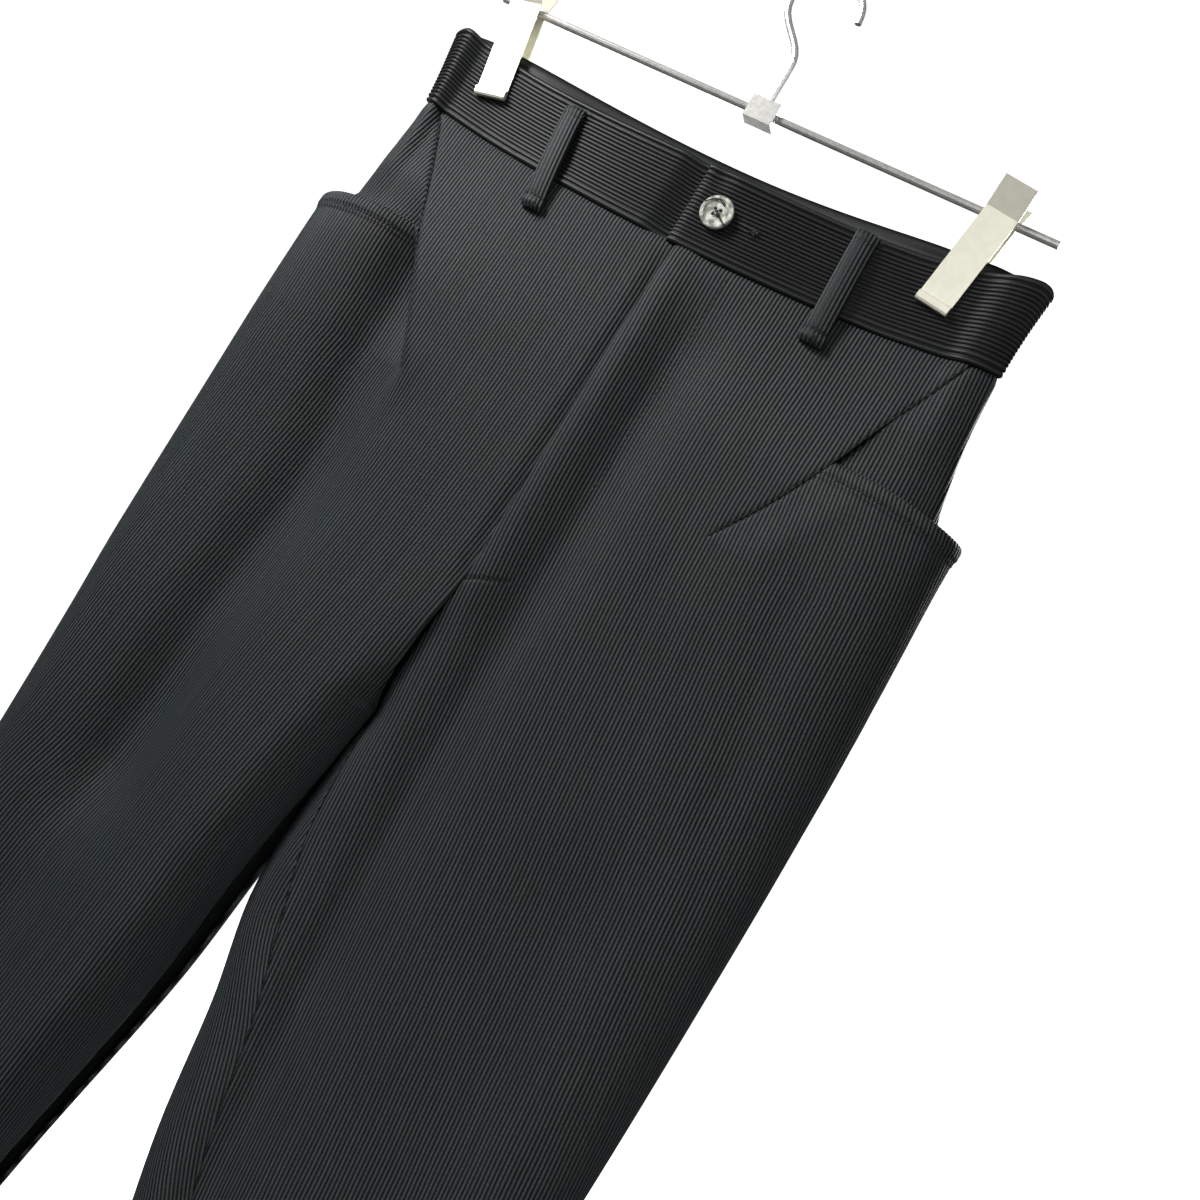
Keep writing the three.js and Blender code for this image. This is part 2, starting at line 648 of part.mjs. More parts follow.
// The hook: a stem rising from the block into a round crook that rests on the rod
function hookGeometry() {
  const centre = HOOK_RISE - HOOK.radius + HOOK.wire;
  const path = new THREE.CurvePath();
  const bend = new THREE.Vector3(0, 0, centre - 34);
  path.add(new THREE.LineCurve3(new THREE.Vector3(0, 0, BAR.level + BLOCK.height / 2 + SEAM_GAP), bend));
  const onCrook = (turn) => (
    new THREE.Vector3(HOOK.radius * Math.cos(turn * DEG), 0, centre + HOOK.radius * Math.sin(turn * DEG)));
  const rising = new THREE.Vector3(0, 0, centre - 22);
  const leaning = new THREE.Vector3(-12, 0, centre - 18);
  path.add(new THREE.CubicBezierCurve3(bend, rising, leaning, onCrook(HOOK.tipTurn)));
  path.add(new THREE.CatmullRomCurve3(steps(10, HOOK.tipTurn, 0).map(onCrook)));
  const section = new THREE.Shape(steps(8).slice(0, -1).map((t) => (
    new THREE.Vector2(HOOK.wire * Math.cos(t * 2 * Math.PI), HOOK.wire * Math.sin(t * 2 * Math.PI)))));
  return new THREE.ExtrudeGeometry(section, { steps: 30, extrudePath: path });
}

const cloth = new THREE.MeshStandardMaterial({ color: COLOURS.cloth, roughness: 0.85, metalness: 0 });
const bandCloth = new THREE.MeshStandardMaterial({ color: COLOURS.band, roughness: 0.8, metalness: 0 });
const shell = new THREE.MeshStandardMaterial({ color: COLOURS.shell, roughness: 0.25, metalness: 0 });
const clipMetal = new THREE.MeshStandardMaterial({ color: COLOURS.clip, roughness: 0.35, metalness: 1 });
const wire = new THREE.MeshStandardMaterial({ color: COLOURS.wire, roughness: 0.3, metalness: 1 });

function named(name, geometry, material) {
  const mesh = new THREE.Mesh(geometry, material);
  mesh.name = name;
  return mesh;
}

function addGarment(group) {
  for (const side of ['left', 'right']) {
    group.add(named(`front_${side}`, frontPanel(side), cloth));
    group.add(named(`yoke_${side}`, yokePanel(side), cloth));
    group.add(named(`back_${side}`, backPanel(side), cloth));
    group.add(named(`waistband_${side}`, waistbandFront(side), bandCloth));
  }
  group.add(named('waistband_back', waistbandBack(), bandCloth));
  for (const [name, loop] of Object.entries(LOOPS)) group.add(named(name, beltLoop(loop), cloth));
  const button = named('button', buttonGeometry(), shell);
  const seat = bandPoint(BUTTON.x, 0.5, 'front', frontTopLevel);
  button.rotation.x = Math.PI / 2;
  button.position.set(BUTTON.x, seat.y - BAND_CLOTH / 2 - BAND_RIBS.relief - SEAM_GAP - 0.1, BUTTON.level);
  group.add(button);
}

function addHanger(group) {
  const bar = BAR.half - BLOCK.width / 2 - SEAM_GAP;
  for (const side of ['left', 'right']) {
    const { sign, clip } = SIDES[side];
    const rod = new THREE.CylinderGeometry(BAR.radius, BAR.radius, bar, 12);
    rod.rotateZ(Math.PI / 2);
    const half = named(`hanger_bar_${side}`, rod, wire);
    half.position.set(sign * (BAR.half - bar / 2), 0, BAR.level);
    group.add(half);
    const spring = named(`clip_spring_${side}`, springGeometry(), wire);
    spring.position.set(sign * (clip + 3), 0, BAR.level);
    group.add(spring);
    for (const [name, direction] of [['front', -1], ['back', 1]]) {
      const jaw = named(`clip_${name}_${side}`, jawGeometry(direction), clipMetal);
      jaw.position.set(sign * (clip + 4), 0, BAR.level);
      jaw.rotation.y = sign * CLIP_TILT[side] * DEG;
      group.add(jaw);
    }
  }
  const block = named('hanger_block', new THREE.BoxGeometry(BLOCK.width, BLOCK.depth, BLOCK.height), wire);
  block.position.z = BAR.level;
  group.add(block);
  group.add(named('hanger_hook', hookGeometry(), wire));
}

const trousers = new THREE.Group();
trousers.position.z = -HOOK_RISE;
addGarment(trousers);
addHanger(trousers);

const part = new THREE.Group();
part.add(trousers);
part.updateMatrixWorld(true);
export default part;
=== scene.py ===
"""Finished looks for the cropped trousers on their clip hanger.

Everything is worked out in millimetres. A level is a height above the fly's lower end, and `out` is a
distance out from the centre line towards one side. +X is the wearer's left and -Y the front.
"""
import math

import bpy
import numpy as np
from mathutils import Matrix, Vector


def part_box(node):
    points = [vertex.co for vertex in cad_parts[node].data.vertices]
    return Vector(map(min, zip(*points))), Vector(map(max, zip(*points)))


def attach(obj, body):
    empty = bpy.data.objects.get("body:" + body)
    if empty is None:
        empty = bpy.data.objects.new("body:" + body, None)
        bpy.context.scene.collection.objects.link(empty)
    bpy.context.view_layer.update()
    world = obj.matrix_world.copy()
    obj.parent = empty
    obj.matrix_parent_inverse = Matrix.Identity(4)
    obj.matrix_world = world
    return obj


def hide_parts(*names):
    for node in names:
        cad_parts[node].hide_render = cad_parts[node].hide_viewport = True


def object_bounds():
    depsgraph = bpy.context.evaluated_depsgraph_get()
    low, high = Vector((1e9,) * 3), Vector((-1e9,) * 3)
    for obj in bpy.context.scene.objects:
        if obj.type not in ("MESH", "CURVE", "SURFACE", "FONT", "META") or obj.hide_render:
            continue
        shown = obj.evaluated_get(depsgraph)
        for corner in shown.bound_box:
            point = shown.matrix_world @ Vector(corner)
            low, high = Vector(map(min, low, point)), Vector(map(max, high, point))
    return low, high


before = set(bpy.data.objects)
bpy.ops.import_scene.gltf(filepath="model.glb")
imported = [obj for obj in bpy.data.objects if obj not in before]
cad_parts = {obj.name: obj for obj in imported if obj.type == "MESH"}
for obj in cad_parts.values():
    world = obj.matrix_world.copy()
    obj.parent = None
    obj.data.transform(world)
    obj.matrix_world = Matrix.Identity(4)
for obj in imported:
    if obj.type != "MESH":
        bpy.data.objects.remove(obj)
cad_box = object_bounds()


def table(keys, *rows):
    """Rows of named values."""
    return [dict(zip(keys.split(), row)) for row in rows]


def course(*rows):
    """Rows that each give a level and a place out."""
    return table("level out", *rows)


# Driving sizes
HOOK_RISE = 355.0
HEM_LEVEL = -625.0
CLOTH = 1.6
BAND_CLOTH = 2.6
LOOP_CLOTH = 1.8
SEAM_GAP = 0.3
HEM_FOLD = 26.0
HEM_STITCH = HEM_LEVEL + HEM_FOLD - 1.5
HEM_RELIEF = dict(rise=0.8, edge=0.6, stitch=0.5, stitch_half=0.8)
MOUTH_FOLD = 9.0
MOUTH_STITCH = 1.4
MOUTH_RELIEF = dict(rise=1.1, edge=0.5, stitch=2.4, stitch_half=0.7, sink=0.45, roll=0.7, roll_from=1.6)
RIB = dict(pitch=2.0, relief=0.54, samples=5)
BACK_RIB = dict(pitch=2.0, relief=0.46, samples=4)
# The waistband's cords from its lower edge up: two rolled seam cords, the ribs, and the rolled top fold
BAND_CORDS = [3.2, 2.8] + [2.0] * 16 + [2.4, 3.8]
BAND_RIB = dict(relief=0.95, samples=6, flat=1.7)
# The band's edges roll in, and its two seam cords stand proud but near its ends
BAND_ROLL = dict(depth=0.9, rate=45)
BAND_PROUD = dict(rise=0.5, low=0.07, low_half=0.07, high=0.94, high_half=0.05, gone=62, full=78)
LOOP_RIB = dict(pitch=1.75, relief=0.4, samples=5)
ROW_STEP = 9.0
EDGE_FADE = 2.0
SEAM_TUCK = 1.2
SEAM_DIP = dict(depth=1.1, reach=1.3)

BAND = dict(seam=191.0, end_seam=206.0, front_top=237.0, back_top=248.5, end_top_left=258.0,
            end_top_right=253.0, end=174.0, corner=9.0, corner_drop=5.0)
LAP = dict(edge=-4.5, under_end=30.0, step=3.7, under_from=-20.0, under_full=-7.0, roll=1.1, roll_reach=1.2)
LAP_DENTS = dict(button=dict(x=6, level=0, wide=17, high=12, depth=1.1),
                 corner=dict(x=3, level=231, wide=7, high=7, depth=1.3))
PINCH = dict(half=1.8, front=13.0, back=11.0, swell=3.6, jaw=13.0, end_round=7.0, lower=222.0, gone=110.0)

SIDES = {
    "left": dict(sign=1, clip=127.5, inner_round=24.0, outer_round=42.0, dart_tip=92.0, corner=126.0),
    "right": dict(sign=-1, clip=142.5, inner_round=24.0, outer_round=40.0, dart_tip=90.0, corner=133.0),
}

HIP_EDGE = {
    "left": course((258, 171.5), (230, 169.3), (206, 169), (170, 171.6), (131, 178), (90, 182)),
    "right": course((258, 176), (206, 169.5), (170, 172.5), (131, 177), (90, 180)),
}

LEG_EDGE = {
    "left": course((145, 192), (130, 193.5), (100, 194), (60, 195.7), (0, 197.6), (-100, 198.2),
                   (-220, 197), (-420, 193), (-625, 185)),
    "right": course((145, 189.5), (130, 190.6), (100, 191.5), (60, 192.5), (0, 192.8), (-75, 191),
                    (-126, 188.3), (-185, 186.5), (-300, 186), (-420, 184), (-625, 180)),
}

LEGS = {
    "left": table("level inner front back", (258, 0, 13, 11), (130, 0, 18, 18), (60, 0, 21, 23),
                  (-3, 0, 23, 27), (-100, -12, 25, 30), (-185, -17.5, 26, 30), (-246, -5.4, 26, 29),
                  (-310, 4.2, 26, 28), (-390, 22, 26, 27), (-500, 37, 25, 26), (-625, 48, 24, 25)),
    "right": table("level inner front back", (258, 0, 13, 11), (130, 0, 18, 18), (60, 0, 22, 24),
                   (-3, 0, 26, 28), (-100, 12, 36, 34), (-185, 25.5, 42, 38), (-262, 34.6, 43, 38),
                   (-385, 58, 40, 36), (-500, 76, 36, 34), (-625, 89, 33, 32)),
}

# The slanted seam from the waistband to the pocket's inner corner, and the dart below it
SLANT = {
    "left": course((210, 158.7), (187.5, 148.6), (156, 135), (130, 125), (98, 109), (71, 92)),
    "right": course((206, 159), (173.5, 142), (155, 133), (141, 127), (110, 111), (71, 90)),
}
TIP = 71.0

MOUTH = {
    "left": course((131, 124), (131, 144), (129, 169), (126, 194)),
    "right": course((141, 127), (140, 152), (137.5, 174), (133, 193)),
}

WRAP_TOP = -95.0
WRAP = table("level reach", (-60, 0), (-95, 5), (-149, 16), (-195, 29), (-272, 32), (-327, 35),
             (-500, 34), (-625, 32))
CROTCH = dict(front=-3.0, back=30.0, level=-78.0)
LIP_RATE = 12.0
FLY = dict(ridge=2.5, ridge_out=8.0, ridge_half=8.5, sink=2.6, sink_half=5.2, edge=1.6, end=-4.0,
           end_reach=20.0, end_slope=0.5, begins=(-30, 0), eases=(165, 190))
POCKET_STAND = dict(out=3.2, reach=26.0, fade=110.0)
YOKE = dict(low=102.0, tuck=2.6, tuck_top=168.0, tuck_full=143.0, edge=12.0)
FOLD_FADE = 60.0

# Soft troughs (positive depth) and ridges (negative) down each wall: their levels, places out, and the
# widths of their inner and outer slopes
FOLD_COLUMNS = "top bottom depth inner outer path"
FOLDS = {
    ("left", "front"): table(
        FOLD_COLUMNS,
        (205, -420, 7.6, 12, 18,
         course((190, 30), (67, 33), (-73, 31), (-180, 36), (-400, 52))),
        (110, -90, 2.4, 12, 16,
         course((110, 124), (43, 148), (-60, 166))),
        (75, -40, 1.1, 6, 9,
         course((70, 88), (38, 80), (11, 90), (-30, 118))),
        (-60, -520, 4.5, 38, 22,
         course((-80, 128), (-240, 134), (-500, 138))),
    ),
    ("right", "front"): table(
        FOLD_COLUMNS,
        (175, -230, 12.0, 26, 16,
         course((120, 119), (61, 115), (-3, 107), (-58, 109), (-157, 111))),
        (150, -540, 3.5, 30, 42,
         course((120, 116), (61, 114), (-157, 112), (-238, 114), (-372, 126), (-560, 132))),
        (-90, -540, 3.6, 24, 24,
         course((-100, 106), (-191, 108), (-238, 113), (-372, 126), (-560, 132))),
    ),
    ("left", "back"): table(
        FOLD_COLUMNS,
        (60, -480, 5, 30, 22,
         course((40, 118), (-180, 126), (-460, 134))),
        (70, -110, 3, 11, 15,
         course((60, 62), (-20, 40), (-100, 28))),
    ),
    ("right", "back"): table(
        FOLD_COLUMNS,
        (40, -500, 6, 22, 30,
         course((20, 112), (-200, 120), (-480, 134))),
        (75, -90, 2.8, 12, 14,
         course((70, 58), (-10, 38), (-80, 34))),
    ),
}

# Rib paths: how far out one rib lies at each level; all others keep their distance from it
RIB_PATHS = {
    ("left", "front"): course((210, 60), (95, 60), (40, 62.5), (-40, 70), (-625, 128)),
    ("right", "front"): course((210, 62), (100, 62), (50, 64.5), (-20, 72), (-625, 150)),
    ("left", "pocket"): course((71, 150), (100, 146.5), (140, 139)),
    ("right", "pocket"): course((71, 150), (100, 149.5), (145, 150.5)),
    ("left", "yoke"): course((100, 160), (215, 151)),
    ("right", "yoke"): course((100, 163), (215, 139)),
    ("left", "back"): course((210, 100), (-625, 100)),
    ("right", "back"): course((210, 104), (-625, 124)),
}

# Sewn lines: how high they lie on the cloth, and each stitch's length, gap and rise
STITCHES = {
    "mouth": dict(lift=0.4, length=2.4, gap=0.4, rise=0.3),
    "slant": dict(lift=-0.1, length=3.2, gap=0.2, rise=0.42),
    "fly": dict(lift=RIB["relief"] * 0.2, length=2.5, gap=0.9, rise=0.2),
    "fly_end": dict(lift=-0.1, length=2.4, gap=0.2, rise=0.32),
    "inseam": dict(lift=-0.2, length=3.0, gap=0.3, rise=0.22),
    "hem": dict(lift=0.3, length=2.5, gap=0.9, rise=0.2),
}

# The fly's stitch line in two lengths: places out and levels of each one's ends
FLY_SEWING = (((33.0, 30.0), (188.0, 72.0)), ((30.0, 29.0), (70.0, 48.0)))
THREAD_RADIUS = dict(fine=0.2, seam=0.26, buttonhole=0.3, button=0.24, loop=0.18)

# The buttonhole's slit from the button's centre, and the threads' routes on the button from there
BUTTONHOLE = dict(start=9.5, end=20.5, step=0.55, reach=(0.25, 2.1), end_reach=(0.3, 2.3), sink=0.35,
                  end_sink=0.2, rise=0.45)
BUTTON_ROUTES = [
    [(-1.4, -1.4), (0, 0), (1.4, 1.4)],
    [(-1.4, 1.4), (0.1, 0), (1.4, -1.4)],
    [(0.4, 0), (3.4, -2.6), (6.2, -4.2), (8.6, -5.4)],
    [(-7.6, 2.4), (-4.5, 5.4), (-0.5, 6.0), (2.6, 4.2)],
]

LOOP = dict(width=12.5, lift=3.6, crown=1.5, fold=1.3, roll=0.7, roll_reach=0.8, zigzag=0.008)
# Zigzag stitches across a loop: how far up it, from 0 to 1, and how high on its cloth
BAR_TACKS = ((0.1, 0.15), (0.115, 0.15), (0.925, 0.2))
LOOPS = {
    "loop_front_left": dict(face="front", top=(82, 239), foot=(85, 178)),
    "loop_front_right": dict(face="front", top=(-86, 234), foot=(-77, 176)),
    "loop_back_left": dict(face="back", top=(78, 241), foot=(80, 184)),
    "loop_back_right": dict(face="back", top=(-78, 241), foot=(-80, 184)),
    "loop_back_centre": dict(face="back", top=(0, 239), foot=(0, 182)),
}

# Finishes. The cloth's scales are those of its fine threads, its streaks and its slow drift in colour.
# A rib is painted dark from its first bound out of its middle, as shade in the groove between ribs, and has
# its full tone from `full_at` inwards.
CLOTH_SCALES = dict(thread=2600, streak=420, drift=28)
WARM = (1.12, 0.98, 1.0)
COOL = (0.86, 1.06, 1.06)
# Painted shade: the near-black tone laid into the grooves between ribs
GROOVE_SHADE_TONE = (0.0012, 0.0013, 0.0014)
THREAD_TONE = (0.02, 0.021, 0.022)
BLACK_THREAD_TONE = (0.003, 0.003, 0.003)
THREAD_FINISH = dict(dark=0.6, scale=3000, roughness=0.6)
CLOTHS = {
    "ribbed_cloth": dict(tone=(0.05, 0.0555, 0.0575), roughness=0.55, speckle=0.6, specular=0.14,
                         groove_shade_from=0.42, full_at=0.05),
    "waistband_cloth": dict(tone=(0.023, 0.0235, 0.024), roughness=0.44, speckle=0.5, specular=0.24,
                            groove_shade_from=0.42, full_at=0.02),
}
HARD_FINISHES = {
    "clip": dict(dark=(0.8, 0.785, 0.65), light=(0.84, 0.825, 0.69), scale=260, roughness=0.32,
                 metallic=0.42, bump=0.02),
    "wire": dict(dark=(0.62, 0.61, 0.58), light=(0.74, 0.73, 0.7), scale=400, roughness=0.3,
                 metallic=0.7, bump=0.05),
    "shell": dict(dark=(0.2, 0.2, 0.18), light=(0.62, 0.62, 0.55), scale=330, roughness=0.14, bump=0.04),
}
# Which carried-over nodes get which of them, by the start of the node's name
HARD_NODES = {"button": "shell", "clip_front": "clip", "clip_back": "clip", "clip_spring": "wire",
              "hanger": "wire"}

# Studio: the round backdrop's radius and height, how far below its floor lies, the radius of the turn
# between floor and wall, its sides, and the light from all round
STUDIO = dict(radius=4.0, height=5.0, drop=0.25, turn=1.0, sides=96, world=0.1)
LIGHTS = {
    "key": dict(place=(-0.74, -0.62, 0.32), target=(0.0, 0, -0.3), size=0.28, power=18.5),
    "front": dict(place=(0.45, -1.6, 0.2), target=(0.0, 0, -0.3), size=0.9, power=7),
    "fill": dict(place=(1.2, -1.1, -0.5), target=(0.0, 0, -0.5), size=0.8, power=1.6),
    "low_fill": dict(place=(0.4, -0.8, -0.8), target=(0.0, 0, -0.72), size=0.35, power=0.4, spread=75),
    "back_key": dict(place=(0.9, 1.1, 0.35), target=(0.0, 0, -0.35), size=0.4, power=24),
    "back_fill": dict(place=(-0.9, 1.4, -0.2), target=(0.0, 0, -0.5), size=0.9, power=8),
}

# The photo's camera: where it looks, from how far and how it is turned
CAMERA = dict(azimuth=15.2, elevation=-1.0, roll=30.9, distance=592.0, focal_px=1202.0, frame_px=1200.0,
              target_x=57.9, target_level=20.9)


# Small number helpers
def smooth(start, end, value):
    t = np.clip((value - start) / (end - start), 0, 1)
    return t * t * (3 - 2 * t)


def mix(a, b, t):
    return a + (b - a) * t


def read(rows, at, column="out", key="level"):
    """Reads one column of a table as a smooth curve through its rows, at places in its key column."""
    rows = sorted(rows, key=lambda row: row[key])
    places = np.array([row[key] for row in rows], float)
    values = np.array([row[column] for row in rows], float)
    slopes = np.gradient(values, places) if len(rows) < 3 else np.concatenate([
        [(values[1] - values[0]) / (places[1] - places[0])],
        (values[2:] - values[:-2]) / (places[2:] - places[:-2]),
        [(values[-1] - values[-2]) / (places[-1] - places[-2])]])
    at = np.clip(at, places[0], places[-1])
    i = np.clip(np.searchsorted(places, at, side="right") - 1, 0, len(rows) - 2)
    span = places[i + 1] - places[i]
    t = (at - places[i]) / span
    rise = t * t * (3 - 2 * t)
    return (mix(values[i], values[i + 1], rise)
            + span * (slopes[i] * t * (1 - t) ** 2 - slopes[i + 1] * t * t * (1 - t)))


def rounding(distance, radius):
    """A quarter ellipse, from 0 at an edge to 1 at `radius` away from it."""
    return np.sqrt(np.maximum(1 - (1 - np.clip(distance / radius, 0, 1)) ** 2, 0))


def bell(away, width):
    """A soft bump: 1 at its middle, fading over `width` to each side."""
    return np.exp(-((away / width) ** 2))


def normals_of(surface, a, b, steps, sign=1):
    """Unit normals of surface(a, b), measured over a small step to each side of both places."""
    across = surface(a + steps[0], b) - surface(a - steps[0], b)
    along = surface(a, b + steps[1]) - surface(a, b - steps[1])
    normals = np.cross(across, along) * sign
    return normals / np.maximum(np.linalg.norm(normals, axis=-1, keepdims=True), 1e-9)


# The garment's form, the same as in the solids
def seam_level(x):
    return mix(BAND["seam"], BAND["end_seam"], (np.abs(x) / BAND["end"]) ** 1.8)


def end_top(x):
    """The band's top level at its own end, and how far its corner rounds down there."""
    t = np.clip((np.abs(x) - BAND["end"] + BAND["corner"]) / BAND["corner"], 0, 1)
    level = np.where(np.asarray(x) < 0, BAND["end_top_right"], BAND["end_top_left"])
    return level, BAND["corner_drop"] * (1 - np.sqrt(1 - t * t))


def front_top(x):
    level, drop = end_top(x)
    return mix(BAND["front_top"], level, (np.abs(x) / BAND["end"]) ** 2.4) - drop


def back_top(x):
    level, drop = end_top(x)
    return mix(BAND["back_top"], level, (np.abs(x) / BAND["end"]) ** 2) - drop


def hip_edge(side, level):
    return read(HIP_EDGE[side], level)


def leg_edge(side, level):
    return read(LEG_EDGE[side], level)


def slant_out(side, level):
    return read(SLANT[side], level)


def mouth_level(side, out):
    """The level of the pocket's mouth, so far out."""
    return read(MOUTH[side], out, "level", "out")


def inner_edge(side, level):
    own = read(LEGS[side], level, "inner")
    if side == "left":
        return np.maximum(own, -read(LEGS["right"], level, "inner"))
    return own


def wrap_reach(side, level):
    return read(WRAP, level, "reach") if side == "left" else 0.0 * level


def pinched(side, out, end, depth):
    flat_from = SIDES[side]["clip"] - PINCH["jaw"]
    flat_to = SIDES[side]["clip"] + PINCH["jaw"]
    between = PINCH["half"] + (depth - PINCH["half"]) * np.clip(1 - (out / flat_from) ** 2, 0, 1) ** 1.5
    t = np.clip((out - flat_to) / (end - flat_to), 0, 1)
    beyond = PINCH["half"] + PINCH["swell"] * np.sin(math.pi * t) ** 2
    beyond = beyond * rounding(end - out, PINCH["end_round"])
    return np.where(out < flat_from, between, beyond)


def closing(level, top):
    t = np.clip((top - level) / (top - CROTCH["level"]), 0, 1)
    return 1 - np.sqrt(1 - t * t)


def fold_depth(side, face, out, level):
    total = 0.0 * out * level
    for fold in FOLDS[side, face]:
        away = out - read(fold["path"], level)
        width = np.where(away < 0, fold["inner"], fold["outer"])
        fade_out = min(FOLD_FADE, (fold["top"] - fold["bottom"]) / 2)
        fade = (smooth(fold["bottom"], fold["bottom"] + fade_out, level)
                * (1 - smooth(fold["top"] - fade_out, fold["top"], level)))
        total = total + fold["depth"] * fade * bell(away, width)
    if (side, face) == ("right", "front"):
        beyond_seam = smooth(-4, 4, out - slant_out(side, np.maximum(level, TIP)))
        total = total * mix(1.0, beyond_seam, smooth(TIP - 25, TIP + 12, level))
    return total


def half_depth(side, face, out, level, edge):
    size = SIDES[side]
    depth = read(LEGS[side], level, face)
    closed = closing(level, CROTCH[face])
    inner = 1 - closed * (1 - rounding(out - inner_edge(side, level), size["inner_round"]))
    opened_wall = depth * rounding(edge - out, size["outer_round"]) - fold_depth(side, face, out, level)
    opened_wall = opened_wall * inner
    opened = 1 - smooth(PINCH["gone"], PINCH["lower"], level)
    return mix(pinched(side, out, edge, PINCH[face]), opened_wall, opened)


def wall(side, face, out, level, edge, forward=0.0):
    """Points of a wall's middle surface."""
    half = np.maximum(half_depth(side, face, out, level, edge), 0) + SEAM_GAP / 2 + forward
    sign = SIDES[side]["sign"]
    return np.stack([sign * out + 0 * half, -half if face == "front" else half, level + 0 * half], axis=-1)


# Places round a section run from 0 at the inner edge to 1 at the outer one. Below 0 the wall wraps on to
# the other face. TURN is the share that each edge's turn takes up.
TURN = 0.16


def lip(side, face, level):
    return SEAM_GAP / 2 + CLOTH / 2 * np.clip(closing(level, CROTCH[face]) * LIP_RATE, 0, 1)


def out_of(side, face, u, level, edge):
    """How far out a place round the section lies."""
    size = SIDES[side]
    u = np.abs(u)
    inner = inner_edge(side, level) + lip(side, face, level)
    near = inner + size["inner_round"] * (1 - np.cos(np.clip(u / TURN, 0, 1) * math.pi / 2))
    far = edge - size["outer_round"] * (1 - np.cos(np.clip((1 - u) / TURN, 0, 1) * math.pi / 2))
    middle = mix(inner + size["inner_round"], edge - size["outer_round"], (u - TURN) / (1 - 2 * TURN))
    return np.where(u < TURN, near, np.where(u > 1 - TURN, far, middle))


def place_of(side, face, out, level, edge):
    """The place round the section that lies so far out."""
    size = SIDES[side]
    inner = inner_edge(side, level) + lip(side, face, level)
    near = TURN * np.arccos(np.clip(1 - (out - inner) / size["inner_round"], 0, 1)) / (math.pi / 2)
    far = 1 - TURN * np.arccos(np.clip(1 - (edge - out) / size["outer_round"], 0, 1)) / (math.pi / 2)
    start, end = inner + size["inner_round"], edge - size["outer_round"]
    middle = TURN + (1 - 2 * TURN) * (out - start) / (end - start)
    return np.where(out < start, near, np.where(out > end, far, middle))


def stray(cord, level):
    """How far a rib strays from its even course at each level."""
    return 0.2 * np.sin(level / 23 + cord / 31) + 0.1 * np.sin(level / 7.3 + cord / 9 + 1.3)


class Panel:
    """A cut piece: its surface, and its ribs as lines of equal distance from one leading rib."""

    def __init__(self, side, face, edge, ribs, low_place, high_place, forward=None, shift=0.0):
        self.side, self.face, self.edge = side, face, edge
        self.ribs, self.low_place, self.high_place = ribs, low_place, high_place
        self.forward = forward or (lambda out, level: 0.0 * out)
        self.shift = shift

    def point(self, u, level, lift=0.0):
        edge = self.edge(level)
        out = out_of(self.side, self.face, u, level, edge)
        own = wall(self.side, self.face, out, level, edge, self.forward(out, level))
        if np.any(u < 0):
            other = wall(self.side, "front" if self.face == "back" else "back", out, level, edge)
            own = np.where((u < 0)[..., None], other, own)
        if np.any(lift):
            own = own + self.normal(u, level) * np.asarray(lift)[..., None]
        return own

    def normal(self, u, level):
        sign = SIDES[self.side]["sign"] * (1 if self.face == "front" else -1)
        return normals_of(self.point, u, level, (1e-3, 0.4), sign)

    def distances(self, level):
        """Places round one level, and the distance along the cloth from the leading rib to each."""
        u = np.linspace(-0.45 if self.face == "back" and self.side == "left" else 0, 1, 900)
        rows = np.full_like(u, level)
        points = self.point(u, rows)
        run = np.concatenate([[0], np.cumsum(np.linalg.norm(np.diff(points, axis=0), axis=1))])
        leading = read(self.ribs, level)
        start = place_of(self.side, self.face, leading, level, self.edge(np.float64(level)))
        return u, run - np.interp(start, u, run) + self.shift

    def trace(self, levels, cords):
        """Follows each cord value down the levels, held to the panel's own edges: its places, its values
        and how far inside the edges it lies."""
        places, values, inside = [], [], []
        for level in levels:
            u, run = self.distances(level)
            low, high = self.low_place(level), self.high_place(level)
            away = stray(cords, level)
            place = np.clip(np.interp(cords + away, run, u), low, high)
            at = np.interp(place, u, run)
            places.append(place)
            values.append(at - away)
            inside.append(np.minimum(at - np.interp(low, u, run), np.interp(high, u, run) - at))
        return np.array(places), np.array(values), np.array(inside)

    def cord_range(self, levels, rib):
        lows, highs = [], []
        for level in levels:
            u, run = self.distances(level)
            lows.append(np.interp(self.low_place(level), u, run))
            highs.append(np.interp(self.high_place(level), u, run))
        step = rib["pitch"] / rib["samples"]
        first = math.floor(min(lows) / rib["pitch"]) * rib["samples"]
        last = math.ceil(max(highs) / rib["pitch"]) * rib["samples"]
        return np.arange(first, last + 1) * step


def cord_height(values, pitch, relief, flat=2.2):
    """A round cord between two narrow grooves; a larger `flat` gives a flatter top."""
    f = np.mod(values / pitch, 1.0)
    return relief * (np.maximum(1 - np.abs(2 * f - 1) ** flat, 0) ** 0.8 - 0.5)


def sample_down(table, dense, levels):
    """Values of a dense table of levels at one level for each column."""
    step = dense[1] - dense[0]
    at = np.clip((levels - dense[0]) / step, 0, len(dense) - 1.001)
    i = at.astype(int)
    t = at - i
    columns = np.arange(table.shape[1])[None, :]
    return table[i, columns] * (1 - t) + table[i + 1, columns] * t


